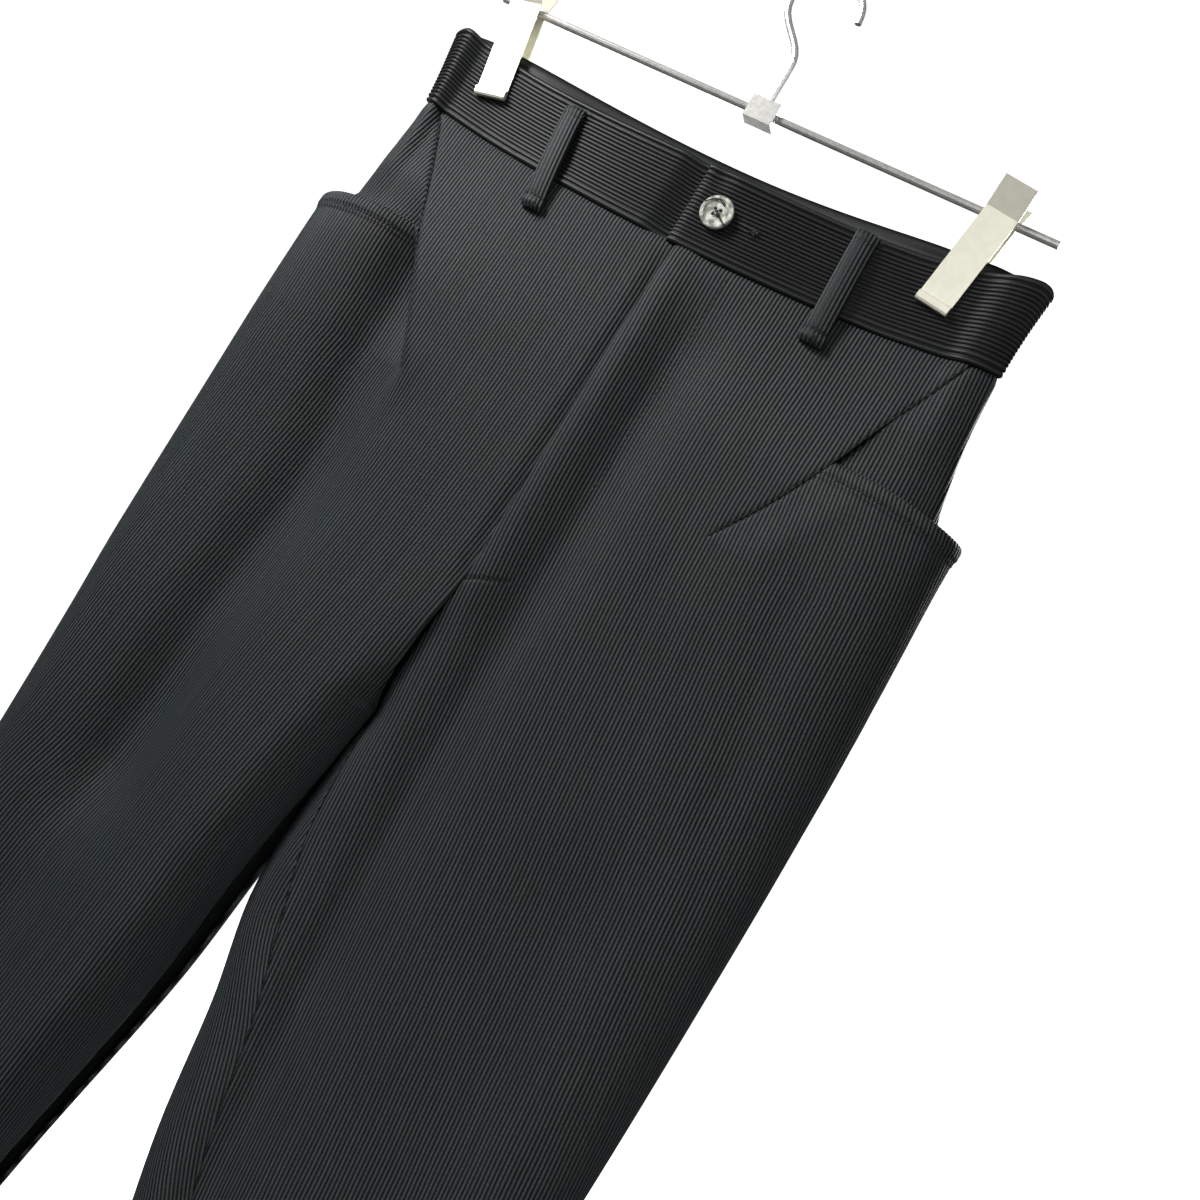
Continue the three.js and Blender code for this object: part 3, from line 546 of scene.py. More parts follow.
def ribbed_grid(panel, rib, low, high, rows, extra=None):
    """A grid of points over a panel between two edges, given as functions of x, with its cords raised."""
    lowest, highest = (min(low(x) for x in (0, 90, 174)), max(high(x) for x in (0, 90, 174)))
    span = highest - lowest
    dense = np.linspace(lowest - 1, highest + 1, int(span / (1.2 if span < 200 else 4)))
    cords = panel.cord_range(dense, rib)
    places, values, inside = panel.trace(dense, cords)
    sign = SIDES[panel.side]["sign"]

    def meet(edge):
        level = np.full((1, len(cords)), edge(90.0))
        for _ in range(5):
            u = sample_down(places, dense, level)
            level = edge(sign * out_of(panel.side, panel.face, u, level, panel.edge(level)))
        return level

    level = mix(meet(low), meet(high), np.asarray(rows)[:, None])
    u = sample_down(places, dense, level)
    value = sample_down(values, dense, level)
    relief = rib["relief"] * smooth(0, EDGE_FADE, sample_down(inside, dense, level))
    lift = cord_height(value, rib["pitch"], relief) + CLOTH / 2
    out = out_of(panel.side, panel.face, u, level, panel.edge(level))
    if extra is not None:
        lift = lift + extra(out, level)
    return dict(points=panel.point(u, level, lift), normals=panel.normal(u, level),
                uv=np.stack([value, level], axis=-1), lift=lift)


def object_from(name, vertices, faces, uvs=None):
    """A mesh object from points in garment millimetres."""
    mesh = bpy.data.meshes.new(name)
    places = (np.asarray(vertices, float) - [0, 0, HOOK_RISE]) / 1000
    mesh.from_pydata(places.tolist(), [], [tuple(int(i) for i in face) for face in faces])
    if uvs is not None:
        layer = mesh.uv_layers.new(name="cloth")
        index = np.zeros(len(mesh.loops), int)
        mesh.loops.foreach_get("vertex_index", index)
        layer.data.foreach_set("uv", (np.asarray(uvs, float)[index] / 1000).ravel())
    mesh.update()
    mesh.polygons.foreach_set("use_smooth", [True] * len(mesh.polygons))
    piece = bpy.data.objects.new(name, mesh)
    bpy.context.scene.collection.objects.link(piece)
    return piece


def grid_faces(rows, columns, start, flip):
    """The faces of a grid of points that begins at point `start`."""
    r, c = np.meshgrid(np.arange(rows - 1), np.arange(columns - 1), indexing="ij")
    a = (start + r * columns + c).ravel()
    quads = np.stack([a, a + 1, a + columns + 1, a + columns], axis=1)
    return quads[:, ::-1] if flip else quads


def tidy_faces(vertices, quads, merge=1e-3):
    """Joins points that meet, and drops faces that have closed up."""
    key = np.round(vertices / merge).astype(np.int64)
    _, first, back = np.unique(key, axis=0, return_index=True, return_inverse=True)
    quads = back.reshape(-1)[quads]
    triangles = np.concatenate([quads[:, [0, 1, 2]], quads[:, [0, 2, 3]]])
    distinct = ((triangles[:, 0] != triangles[:, 1]) & (triangles[:, 1] != triangles[:, 2])
                & (triangles[:, 2] != triangles[:, 0]))
    triangles = triangles[distinct]
    points = vertices[first]
    a, b, c = (points[triangles[:, i]] for i in range(3))
    area = np.linalg.norm(np.cross(b - a, c - a), axis=1)
    return points, triangles[area > 1e-5], first


def cloth_piece(name, grids, thickness, outside, step=(3, 6)):
    """A thin shell: the raised outer grids, a plain inner layer and turned edges."""
    vertices, quads, uvs = [], [], []
    count = 0

    def add(points, uv, flip):
        nonlocal count
        rows, columns = points.shape[:2]
        quads.append(grid_faces(rows, columns, count, flip))
        vertices.append(points.reshape(-1, 3))
        uvs.append(uv.reshape(-1, 2))
        count += rows * columns

    for grid in grids:
        points, normals, uv = grid["points"], grid["normals"], grid["uv"]
        r, c = (n // 2 for n in points.shape[:2])
        turn = np.cross(points[r, c + 1] - points[r, c], points[r + 1, c] - points[r, c])
        flip = bool(turn @ outside < 0)
        add(points, uv, flip)
    outer_count = count
    outer_quads = np.concatenate(quads)
    for grid in grids:
        points, normals, uv = grid["points"], grid["normals"], grid["uv"]
        deep = grid["lift"] + thickness / 2
        inner = points - normals * deep[..., None]
        rows = np.unique(np.append(np.arange(0, points.shape[0], step[0]), points.shape[0] - 1))
        columns = np.unique(np.append(np.arange(0, points.shape[1], step[1]), points.shape[1] - 1))
        add(inner[np.ix_(rows, columns)], uv[np.ix_(rows, columns)], True)
        for place in (np.s_[0, :], np.s_[-1, :], np.s_[:, 0], np.s_[:, -1]):
            edge = np.stack([points[place], points[place] - normals[place] * deep[place][..., None]])
            add(edge, np.stack([uv[place], uv[place]]), False)
    every = np.concatenate(vertices)
    uv = np.concatenate(uvs)
    rest_quads = np.concatenate(quads)[len(outer_quads):] - outer_count
    outer, outer_faces, first = tidy_faces(every[:outer_count], outer_quads)
    rest, rest_faces, rest_first = tidy_faces(every[outer_count:], rest_quads)
    return object_from(name, np.concatenate([outer, rest]),
                       np.concatenate([outer_faces, rest_faces + len(outer)]),
                       np.concatenate([uv[:outer_count][first], uv[outer_count:][rest_first]]))


# Panels, and the ways that their outsides face
FORWARD = np.array([0, -1.0, 0])
BACKWARD = np.array([0, 1.0, 0])


def rows_with(low, high, fine):
    """Even rows from 0 to 1, and more of them round the levels in `fine`."""
    even = np.linspace(0, 1, max(int(round((high - low) / ROW_STEP)), 2) + 1)
    extra = [(level + away - low) / (high - low) for level in fine for away in (-2.4, -1.2, 0, 1.2, 2.4)]
    return np.unique(np.concatenate([even, extra]))


def constant(value):
    """The same value everywhere, as a function of places."""
    return lambda x: value + 0 * np.asarray(x, float)


# The places round a section at a panel's inner and outer ends
INNER_END = constant(0.0)
OUTER_END = constant(1.0)


def seam_dip(away):
    """How far cloth sinks towards a seam that is so far away."""
    return SEAM_DIP["depth"] * np.exp(-np.maximum(away, 0) / SEAM_DIP["reach"])


def hem_extra(out, level):
    """The height of the turned hem, and the groove along its stitches."""
    size = HEM_RELIEF
    top = HEM_LEVEL + HEM_FOLD
    fold = smooth(top + size["edge"], top - size["edge"], level)
    return size["rise"] * fold - size["stitch"] * bell(level - HEM_STITCH, size["stitch_half"])


def front_panels(side):
    """A leg front's three surfaces: below the dart's tip, above it, and the pocket's outer layer."""
    size = SIDES[side]

    def fly(out, level):
        if side == "left":
            roll = FLY["ridge"] * bell(out - FLY["ridge_out"], FLY["ridge_half"])
        else:
            roll = -FLY["sink"] * bell(out, FLY["sink_half"])
        return roll * smooth(*FLY["begins"], level) * (1 - 0.6 * smooth(*FLY["eases"], level))

    def stand(start, out, level):
        return (POCKET_STAND["out"] * smooth(start, start + POCKET_STAND["reach"], out)
                * smooth(0, POCKET_STAND["fade"], level)
                * rounding(leg_edge(side, level) - out, size["outer_round"] / 2))

    def leg_forward(out, level):
        return stand(size["dart_tip"], out, level) + fly(out, level)

    def pocket_forward(out, level):
        return stand(slant_out(side, level), out, level)

    def upper_edge(level):
        return mix(leg_edge(side, level), hip_edge(side, level), smooth(TIP, 120, level))

    def inseam_place(level):
        start = inner_edge(side, level) + wrap_reach(side, level)
        start = np.maximum(start + SEAM_GAP / 2, inner_edge(side, level) + lip(side, "front", level))
        return place_of(side, "front", start, level, leg_edge(side, level))

    def outer_edge(level):
        return leg_edge(side, level)

    def beside_slant(away, edge):
        """The place so far beyond the slanted seam, as a function of the level."""
        return lambda level: place_of(side, "front", slant_out(side, level) + away, level, edge(level))

    leg = Panel(side, "front", outer_edge, RIB_PATHS[side, "front"], inseam_place, OUTER_END, leg_forward)
    upper = Panel(side, "front", upper_edge, RIB_PATHS[side, "front"], INNER_END,
                  beside_slant(-SEAM_GAP / 2, upper_edge), fly)
    pocket = Panel(side, "front", outer_edge, RIB_PATHS[side, "pocket"],
                   beside_slant(SEAM_GAP / 2, outer_edge), OUTER_END, pocket_forward)
    u, run = leg.distances(TIP)
    at_tip = place_of(side, "front", read(RIB_PATHS[side, "pocket"], TIP), TIP,
                      leg_edge(side, np.float64(TIP)))
    pocket.shift = float(np.interp(at_tip, u, run))
    return leg, upper, pocket


def make_front(side):
    leg, upper, pocket = front_panels(side)

    def leg_extra(out, level):
        dip = hem_extra(out, level)
        if side == "left":
            away = out - inner_edge(side, level) - wrap_reach(side, level)
            dip = dip - 0.5 * seam_dip(away) * smooth(-60, -120, level)
            ledge = bell(level - FLY["end"] - FLY["end_slope"] * out, 1.0)
            dip = dip - 0.9 * ledge * (1 - smooth(FLY["end_reach"] - 2, FLY["end_reach"] + 2, out))
            dip = dip - FLY["edge"] * np.exp(-out / 0.8) * smooth(-20, -3, level)
        return dip

    def upper_extra(out, level):
        waist = seam_dip(seam_level(out) - level)
        slanted = seam_dip(slant_out(side, level) - out) * smooth(TIP, TIP + 8, level)
        edge = FLY["edge"] * np.exp(-out / 0.8) if side == "left" else 0
        return -waist - slanted - edge

    def pocket_extra(out, level):
        mouth = mouth_level(side, out)
        low = mouth - MOUTH_FOLD
        relief = MOUTH_RELIEF
        fold = relief["rise"] * smooth(low - relief["edge"], low + relief["edge"], level)
        groove = relief["stitch"] * bell(level - mouth + MOUTH_FOLD - MOUTH_STITCH, relief["stitch_half"])
        rolled = relief["roll"] * smooth(mouth - relief["roll_from"], mouth, level)
        slanted = seam_dip(out - slant_out(side, level)) * smooth(TIP, TIP + 8, level)
        return fold - relief["sink"] * groove - rolled - slanted

    rows = rows_with(HEM_LEVEL, TIP, [HEM_LEVEL + HEM_FOLD - 1, FLY["end"], FLY["end"] + 5,
                                       FLY["end"] + 9])
    grids = [
        ribbed_grid(leg, RIB, constant(HEM_LEVEL), constant(TIP), rows, leg_extra),
        ribbed_grid(upper, RIB, constant(TIP), lambda x: seam_level(x) + SEAM_TUCK,
                    finer_end(70, 3), upper_extra),
        ribbed_grid(pocket, RIB, constant(TIP), lambda x: mouth_level(side, np.abs(x)),
                    finer_end(30, 13, 0.78), pocket_extra),
    ]
    sewing = front_sewing(side, leg, upper, pocket)
    piece = cloth_piece(f"cloth_front_{side}", grids, CLOTH, FORWARD)
    return piece, flat_size(grids), sewing


def front_sewing(side, leg, upper, pocket):
    """The stitches on a leg's front: thin grey ones, and dark ones that draw its seams; the near-unbroken
    dark line along the slanted seam is partly painted shade.
    """
    along = np.linspace(0, 1, 60)
    outs = mix(SIDES[side]["corner"] + 4, float(leg_edge(side, 130.0)) - 1.5, along)
    dark = sew(pocket, outs, mouth_level(side, outs) - MOUTH_FOLD + MOUTH_STITCH, "mouth")
    levels = mix(TIP + 1, float(seam_level(150.0)) - 2, along)
    # Partly painted shade: near-black stitches with tiny gaps lie in the slanted seam's groove and draw its
    # shaded line
    dark += sew(upper, slant_out(side, levels) - 0.4, levels, "slant")
    lines = []
    if side == "left":
        for panel, (ends, heights) in zip((upper, leg), FLY_SEWING):
            lines += sew(panel, mix(*ends, along), mix(*heights, along), "fly")
        outs = mix(0.8, FLY["end_reach"], along)
        dark += sew(leg, outs, FLY["end"] + FLY["end_slope"] * outs, "fly_end")
        levels = mix(-110.0, HEM_LEVEL + 2, along)
        dark += sew(leg, inner_edge(side, levels) + wrap_reach(side, levels) + 0.3, levels, "inseam")
    outs = mix(float(inner_edge(side, HEM_LEVEL)) + 40, float(leg_edge(side, HEM_LEVEL)) - 3, along)
    lines += sew(leg, outs, 0 * outs + HEM_STITCH, "hem")
    return [threads(f"stitches_front_{side}", lines, THREAD_RADIUS["fine"], THREAD_TONE),
            threads(f"seam_threads_{side}", dark, THREAD_RADIUS["seam"], BLACK_THREAD_TONE)]


def flat_size(grids):
    """The width, length and area of a cut piece, laid flat, in metres."""
    area = 0.0
    widths, lows, highs = [], [], []
    for grid in grids:
        bare = grid["points"] - grid["normals"] * grid["lift"][..., None]
        a, b, c, d = bare[:-1, :-1], bare[:-1, 1:], bare[1:, 1:], bare[1:, :-1]
        area += 0.5 * (np.linalg.norm(np.cross(b - a, c - a), axis=-1)
                       + np.linalg.norm(np.cross(c - a, d - a), axis=-1)).sum()
        widths.append(np.linalg.norm(np.diff(bare, axis=1), axis=-1).sum(axis=1).max())
        lows.append(bare[..., 2].min())
        highs.append(bare[..., 2].max())
    length = float(max(highs) - min(lows))
    width = max(float(max(widths)), area / length)
    return dict(flat=(width / 1000, length / 1000), area=min(area / 1e6, width * length / 1e6))


def finer_end(coarse, fine, split=0.96):
    """Rows from 0 to 1 that crowd together after `split`."""
    return np.concatenate([np.linspace(0, split, coarse, endpoint=False), np.linspace(split, 1, fine)])


def make_yoke(side):
    corner = float(mouth_level(side, 0.0))

    def tuck(out, level):
        return -(YOKE["tuck"] * (1 - smooth(YOKE["tuck_full"], YOKE["tuck_top"], level))
                 * rounding(hip_edge(side, level) - out, YOKE["edge"]))

    def start(level):
        out = slant_out(side, np.maximum(level, corner)) + SEAM_GAP / 2
        return place_of(side, "front", out, level, hip_edge(side, level))

    def extra(out, level):
        return (-seam_dip(seam_level(out) - level)
                - seam_dip(out - slant_out(side, level)) * smooth(corner - 2, corner + 2, level))

    yoke = Panel(side, "front", lambda level: hip_edge(side, level), RIB_PATHS[side, "yoke"], start,
                 OUTER_END, tuck)
    grid = ribbed_grid(yoke, RIB, constant(YOKE["low"]), lambda x: seam_level(x) + SEAM_TUCK,
                       finer_end(56, 3), extra)
    return cloth_piece(f"cloth_yoke_{side}", [grid], CLOTH, FORWARD), flat_size([grid]), []


def make_back(side):
    corner = SIDES[side]["corner"]

    def edge(level):
        return mix(leg_edge(side, level), hip_edge(side, level), smooth(corner - 8, corner + 1, level))

    def start(level):
        if side == "right":
            return 0.0 * level
        reach = inner_edge(side, level) + wrap_reach(side, level) - SEAM_GAP / 2
        wrapped = -place_of(side, "front", reach, level, edge(level))
        return np.where(level < WRAP_TOP, wrapped, 0.0)

    def extra(out, level):
        centre = seam_dip(out - inner_edge(side, level)) * smooth(-60, -20, level)
        return hem_extra(out, level) - seam_dip(seam_level(out) - level) - centre

    back = Panel(side, "back", edge, RIB_PATHS[side, "back"], start, OUTER_END)
    rows = rows_with(HEM_LEVEL, 198, [HEM_LEVEL + HEM_FOLD - 1])
    rows = np.unique(np.append(rows, np.linspace(0.985, 1, 3)))
    grid = ribbed_grid(back, BACK_RIB, constant(HEM_LEVEL), lambda x: seam_level(x) + SEAM_TUCK, rows,
                       extra)
    piece = cloth_piece(f"cloth_back_{side}", [grid], CLOTH, BACKWARD)
    inner, outer = float(inner_edge(side, HEM_LEVEL)), float(leg_edge(side, HEM_LEVEL))
    outs = mix(inner + 3, outer - 3, np.linspace(0, 1, 60))
    lines = sew(back, outs, 0 * outs + HEM_STITCH, "hem")
    sewing = threads(f"stitches_back_{side}", lines, THREAD_RADIUS["fine"], THREAD_TONE)
    return piece, flat_size([grid]), [sewing]


# Waistband: the steps along and across it over which its normals are measured
BAND_STEPS = (0.1, 1e-3)


def band_middle(x, f, face, top, shift=0.0):
    level = mix(seam_level(x) + SEAM_GAP / 2, top(x), f)
    points = np.empty(np.broadcast(x, level).shape + (3,))
    for side in SIDES:
        edge = hip_edge(side, level)
        mask = (x < 0) if side == "right" else (x >= 0)
        own = wall(side, face, np.abs(x) * edge / BAND["end"], level, edge, shift)
        points = np.where(mask[..., None], own, points)
    return points


def band_grid(xs, face, top, shift=None, lapped=False):
    """The band's grid: rows across its cords, columns along it."""
    samples = BAND_RIB["samples"]
    across_cord = np.linspace(0, 1, samples, endpoint=False)
    starts = np.concatenate([[0], np.cumsum(BAND_CORDS)])
    height = sum(BAND_CORDS)
    f = np.concatenate([(start + across_cord * width) / height for start, width in zip(starts, BAND_CORDS)]
                       + [[1.0]])[:, None]
    cord = np.concatenate([n + across_cord for n in range(len(BAND_CORDS))] + [[len(BAND_CORDS)]])[:, None]
    widths = np.repeat(BAND_CORDS, samples).tolist() + [BAND_CORDS[-1]]
    x = np.asarray(xs)[None, :]
    moved = shift(x) if shift is not None else 0.0 * x

    def middle(x, f):
        return band_middle(x, f, face, top, moved)

    points = middle(x, f)
    normals = normals_of(middle, x, f, BAND_STEPS, 1 if face == "front" else -1)
    relief = BAND_RIB["relief"] * np.sqrt(np.array(widths) / RIB["pitch"])[:, None]
    rate, size = BAND_ROLL["rate"], BAND_PROUD
    rolled = BAND_ROLL["depth"] * (np.exp(-f * rate) + np.exp(-(1 - f) * rate))
    clear = 1 - smooth(BAND["end"] - size["full"], BAND["end"] - size["gone"], np.abs(x))
    proud = bell(f - size["low"], size["low_half"]) + bell(f - size["high"], size["high_half"])
    lift = BAND_CLOTH / 2 + cord_height(cord, 1.0, relief, BAND_RIB["flat"]) - rolled
    lift = lift + size["rise"] * proud * clear
    level = mix(seam_level(x), top(x), f)
    if lapped:
        lift = lift - LAP["roll"] * np.exp(-(x - xs[0]) / LAP["roll_reach"]) - lap_dents(x, level)
    uv = np.stack([cord * RIB["pitch"] + 0 * x, x + 0 * f], axis=-1)
    lift = lift + 0 * x
    return dict(points=points + normals * lift[..., None], normals=normals, uv=uv, lift=lift)


def lap_dents(x, level):
    """The dents round the button and its buttonhole, and at the lap's upper corner."""
    hole_x, hole_level = button_place()
    total = 0.0
    for place, from_x, from_level in (("button", hole_x, hole_level), ("corner", 0, 0)):
        dent = LAP_DENTS[place]
        across = (x - from_x - dent["x"]) / dent["wide"]
        up = (level - from_level - dent["level"]) / dent["high"]
        total = total + dent["depth"] * bell(np.hypot(across, up), 1)
    return total


def button_place():
    """The button's centre: its x and its level."""
    low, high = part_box("button")
    return 500 * (low[0] + high[0]), 500 * (low[2] + high[2]) + HOOK_RISE


def on_band(x, level, height):
    """Points on the lapped front of the band, so high above its middle surface, and the way out."""
    x, level = np.asarray(x, float), np.asarray(level, float)
    f = (level - seam_level(x)) / (front_top(x) - seam_level(x))

    def middle(x, f):
        return band_middle(x, f, "front", front_top)

    out = normals_of(middle, x, f, BAND_STEPS)
    return middle(x, f) + out * height, out


def make_buttonhole():
    """Satin stitches round the slit beside the button, and its loose ends."""
    x, level = button_place()
    start, end = (x + BUTTONHOLE[key] for key in ("start", "end"))
    surface = BAND_CLOTH / 2
    arch = BUTTONHOLE["rise"] * np.sin(math.pi * np.linspace(0.1, 1, 4))
    lines = []
    for side in (-1, 1):
        for at in np.arange(start, end, BUTTONHOLE["step"]):
            reach = np.linspace(*BUTTONHOLE["reach"], 4)
            points, out = on_band(at + 0 * reach, level + side * reach, surface - BUTTONHOLE["sink"])
            lines.append(points + out * arch[:, None])
    for turn in np.linspace(-math.pi / 2, math.pi / 2, 9):
        reach = np.linspace(*BUTTONHOLE["end_reach"], 4)
        x_out, rise = reach * math.cos(turn), reach * math.sin(turn)
        lines.append(on_band(end + x_out, level + rise, surface - BUTTONHOLE["end_sink"])[0])
    tip, out = on_band(end + 1, level, surface + 0.4)
    lines += loose_ends(tip, out, 7, 11)
    threads("buttonhole_threads", lines, THREAD_RADIUS["buttonhole"], BLACK_THREAD_TONE)
    hold_button(x, level)


def hold_button(x, level):
    """Threads that cross between the button's holes, and two that lie over its rim."""
    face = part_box("button")[0][1] * 1000 - 0.12
    sewn = []
    for route in BUTTON_ROUTES:
        ends = np.array(route, float)
        t = np.linspace(0, len(ends) - 1, 9)
        spread = np.stack([np.interp(t, np.arange(len(ends)), ends[:, k]) for k in (0, 1)], axis=1)
        for shift in (-0.22, 0.22):
            places = [x + spread[:, 0] + shift, 0 * t + face, level + spread[:, 1] + shift]
            sewn.append(np.stack(places, axis=1))
    threads("button_threads", sewn, THREAD_RADIUS["button"], BLACK_THREAD_TONE)


def band_xs(start, end, step=2.6):
    """Columns along the band, crowded together where it turns in at an end."""
    turn = PINCH["end_round"]
    stops = []
    for value, toward in ((start, 1), (end, -1)):
        if abs(value) >= BAND["end"]:
            stops.append(value + toward * turn * (1 - np.cos(np.linspace(0, 1, 9) * math.pi / 2)))
    low = start + (turn if abs(start) >= BAND["end"] else 0)
    high = end - (turn if abs(end) >= BAND["end"] else 0)
    middle = np.linspace(low, high, int((high - low) / step) + 1)
    return np.unique(np.round(np.concatenate(stops + [middle]), 4))


def make_bands():
    end = BAND["end"]
    left = band_grid(band_xs(LAP["edge"], end), "front", front_top, lapped=True)
    right = band_grid(band_xs(-end, LAP["under_end"]), "front", front_top,
                      lambda x: -LAP["step"] * smooth(LAP["under_from"], LAP["under_full"], x))
    back = band_grid(band_xs(-end, end), "back", back_top)
    made = (("left", left, FORWARD), ("right", right, FORWARD), ("back", back, BACKWARD))
    return [(cloth_piece(f"cloth_band_{name}", [grid], BAND_CLOTH, outside, (6, 4)), flat_size([grid]), [])
            for name, grid, outside in made]


def make_loop(name, face, top, foot):
    f = np.linspace(0, 1, 44)[:, None]
    half = LOOP["width"] / 2
    rib = LOOP_RIB
    across = np.linspace(-half, half, round(LOOP["width"] / rib["pitch"]) * rib["samples"] + 1)[None, :]
    seat = BAND_CLOTH / 2 + BAND_RIB["relief"] / 2 + SEAM_GAP + LOOP_CLOTH / 2

    def middle(across, f):
        x = mix(foot[0], top[0], f) + across
        level = mix(foot[1], top[1], f) + 0 * across
        lift = (seat + LOOP["lift"] * np.sqrt(np.sin(math.pi * np.clip(f, 0, 1)))
                - LOOP["crown"] * (across / half) ** 2)
        left = wall("left", face, np.abs(x), level, hip_edge("left", level), lift)
        right = wall("right", face, np.abs(x), level, hip_edge("right", level), lift)
        return np.where((x < 0)[..., None], right, left)

    points = middle(across, f)
    normals = normals_of(middle, across, f, (0.2, 4e-3), 1 if face == "front" else -1)
    value = across + half + 0 * f
    rolled = LOOP["roll"] * np.exp(-(half - np.abs(across)) / LOOP["roll_reach"])
    fold = LOOP["fold"] * (bell(f - 0.04, 0.035) + 0.5 * bell(f - 0.97, 0.03))
    fold = fold - 0.5 * bell(f - 0.105, 0.012)
    lift = LOOP_CLOTH / 2 + cord_height(value, rib["pitch"], rib["relief"]) - rolled + fold
    uv = np.stack([value, mix(foot[1], top[1], f) + 0 * across], axis=-1)
    grid = dict(points=points + normals * lift[..., None], normals=normals, uv=uv, lift=lift)
    lines = []
    outside = FORWARD if face == "front" else BACKWARD
    for at, rise in BAR_TACKS:
        places = np.linspace(-half * 0.85, half * 0.85, 9)
        zigzag = np.where(np.arange(9) % 2 == 0, at - LOOP["zigzag"], at + LOOP["zigzag"])
        line = middle(places[:, None], zigzag[:, None])[:, 0]
        lines.append(line + outside * (LOOP_CLOTH / 2 + rise))
    corner = middle(np.array([[half]]), np.array([[0.97]]))[0, 0] + outside * LOOP_CLOTH / 2
    foot_end = middle(np.array([[0.2 * half]]), np.array([[0.02]]))[0, 0] + outside * (LOOP_CLOTH / 2 + 1)
    lines += loose_ends(corner, outside, 5, len(name)) + loose_ends(foot_end, outside, 4, 7 * len(name))
    sewing = threads(f"stitches_{name}", lines, THREAD_RADIUS["loop"], BLACK_THREAD_TONE)
    piece = cloth_piece(f"cloth_{name}", [grid], LOOP_CLOTH, outside)
    return piece, flat_size([grid]), [sewing]


# Threads
def ring_faces(rings, sides):
    """The faces between each ring of points and the next."""
    faces = []
    for low in range(0, (rings - 1) * sides, sides):
        for k in range(sides):
            n = (k + 1) % sides
            faces.append((low + k, low + n, low + sides + n, low + sides + k))
    return faces


def tube(points, radius, sides=5):
    """A closed thin tube along a short line of points."""
    points = np.asarray(points, float)
    along = np.gradient(points, axis=0)
    along /= np.linalg.norm(along, axis=1, keepdims=True)
    helper = np.array([0.3, 0.9, 0.31])
    a = np.cross(along, helper)
    a /= np.linalg.norm(a, axis=1, keepdims=True)
    b = np.cross(along, a)
    turns = np.arange(sides) * 2 * math.pi / sides
    rings = points[:, None] + radius * (a[:, None] * np.cos(turns)[None, :, None]
                                        + b[:, None] * np.sin(turns)[None, :, None])
    count = len(points)
    faces = ring_faces(count, sides)
    faces.append(tuple(range(sides - 1, -1, -1)))
    faces.append(tuple((count - 1) * sides + k for k in range(sides)))
    return rings.reshape(-1, 3), faces


def threads(name, lines, radius, tone):
    """One piece made of many short threads."""
    vertices, faces, start = [], [], 0
    for line in lines:
        ring, quads = tube(line, radius)
        vertices.append(ring)
        faces.extend(tuple(i + start for i in face) for face in quads)
        start += len(ring)
    piece = object_from(name, np.concatenate(vertices), faces)
    dark = [c * THREAD_FINISH["dark"] for c in tone]
    give(piece, wavering_material(f"{name}_finish", dark, tone, THREAD_FINISH["scale"],
                                  THREAD_FINISH["roughness"]))
    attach(piece, "root")
    return piece


def sew(panel, outs, levels, kind):
    """Splits a line on a panel into single stitches that dip into the cloth at both ends."""
    stitch = STITCHES[kind]
    length, rise = stitch["length"], stitch["rise"]
    outs, levels = np.asarray(outs, float), np.asarray(levels, float)
    edge = panel.edge(levels)
    u = np.array([place_of(panel.side, panel.face, o, l, e) for o, l, e in zip(outs, levels, edge)])
    points = panel.point(u, levels, np.full(len(u), CLOTH / 2 + stitch["lift"]))
    normals = panel.normal(u, levels)
    run = np.concatenate([[0], np.cumsum(np.linalg.norm(np.diff(points, axis=0), axis=1))])
    lines = []
    for start in np.arange(0.3, run[-1] - length, length + stitch["gap"]):
        at = start + length * np.array([0, 0.25, 0.75, 1])
        place = np.stack([np.interp(at, run, points[:, i]) for i in range(3)], axis=1)
        out = np.stack([np.interp(at, run, normals[:, i]) for i in range(3)], axis=1)
        lines.append(place + out * (rise * np.array([-2.0, 1.0, 1.0, -2.0]))[:, None])
    return lines


def loose_ends(start, out, count, seed):
    """Short thread ends that curl away from one point."""
    draw = np.random.default_rng(seed)
    lines = []
    for _ in range(count):
        heading = draw.uniform(0, 2 * math.pi)
        bend = draw.uniform(-2.2, 2.2)
        length = draw.uniform(1.8, 4.0)
        t = np.linspace(0, 1, 7)
        angle = heading + bend * t
        step = np.stack([np.cos(angle), 0 * t, np.sin(angle)], axis=1) * length / 7
        lines.append(start + np.cumsum(step, axis=0) + np.outer(0.9 * np.sin(math.pi * t), out))
    return lines


# Materials
class Finish:
    """A procedural material: a node's sockets take plain values or another node's output."""

    def __init__(self, name):
        self.material = bpy.data.materials.new(name)
        self.material.use_nodes = True
        self.tree = self.material.node_tree

    def fill(self, node, sockets):
        for socket, value in sockets.items():
            if isinstance(value, bpy.types.NodeSocket):
                self.tree.links.new(value, node.inputs[socket])
            else:
                node.inputs[socket].default_value = value

    def shade(self, **sockets):
        """Fills the shader's sockets, which are named with _ for each space."""
        named = {key.replace("_", " "): value for key, value in sockets.items()}
        self.fill(self.tree.nodes["Principled BSDF"], named)

    def node(self, kind, sockets, output=0, **settings):
        """Adds a node and gives one of its outputs."""
        made = self.tree.nodes.new(f"ShaderNode{kind}")
        for key, value in settings.items():
            setattr(made, key, value)
        self.fill(made, sockets)
        return made.outputs[output]

    def math(self, operation, a, b=0.0):
        return self.node("Math", {0: a, 1: b}, operation=operation)

    def noise(self, place, scale, detail=3):
        return self.node("TexNoise", {"Vector": place, "Scale": scale, "Detail": detail})

    def spread(self, value, low, high, start=0.0, end=1.0):
        return self.node("MapRange", {0: value, 1: low, 2: high, 3: start, 4: end})

    def blend(self, share, a, b, mode="MIX"):
        return self.node("Mix", {0: share, 6: a, 7: b}, 2, data_type="RGBA", blend_type=mode)

    def stretched(self, place, share):
        """A place whose second axis is stretched out."""
        return self.node("Mapping", {"Vector": place, "Scale": (1.0, share, 1.0)})

    def bump(self, height, strength, distance):
        return self.node("Bump", {"Strength": strength, "Distance": distance, "Height": height})


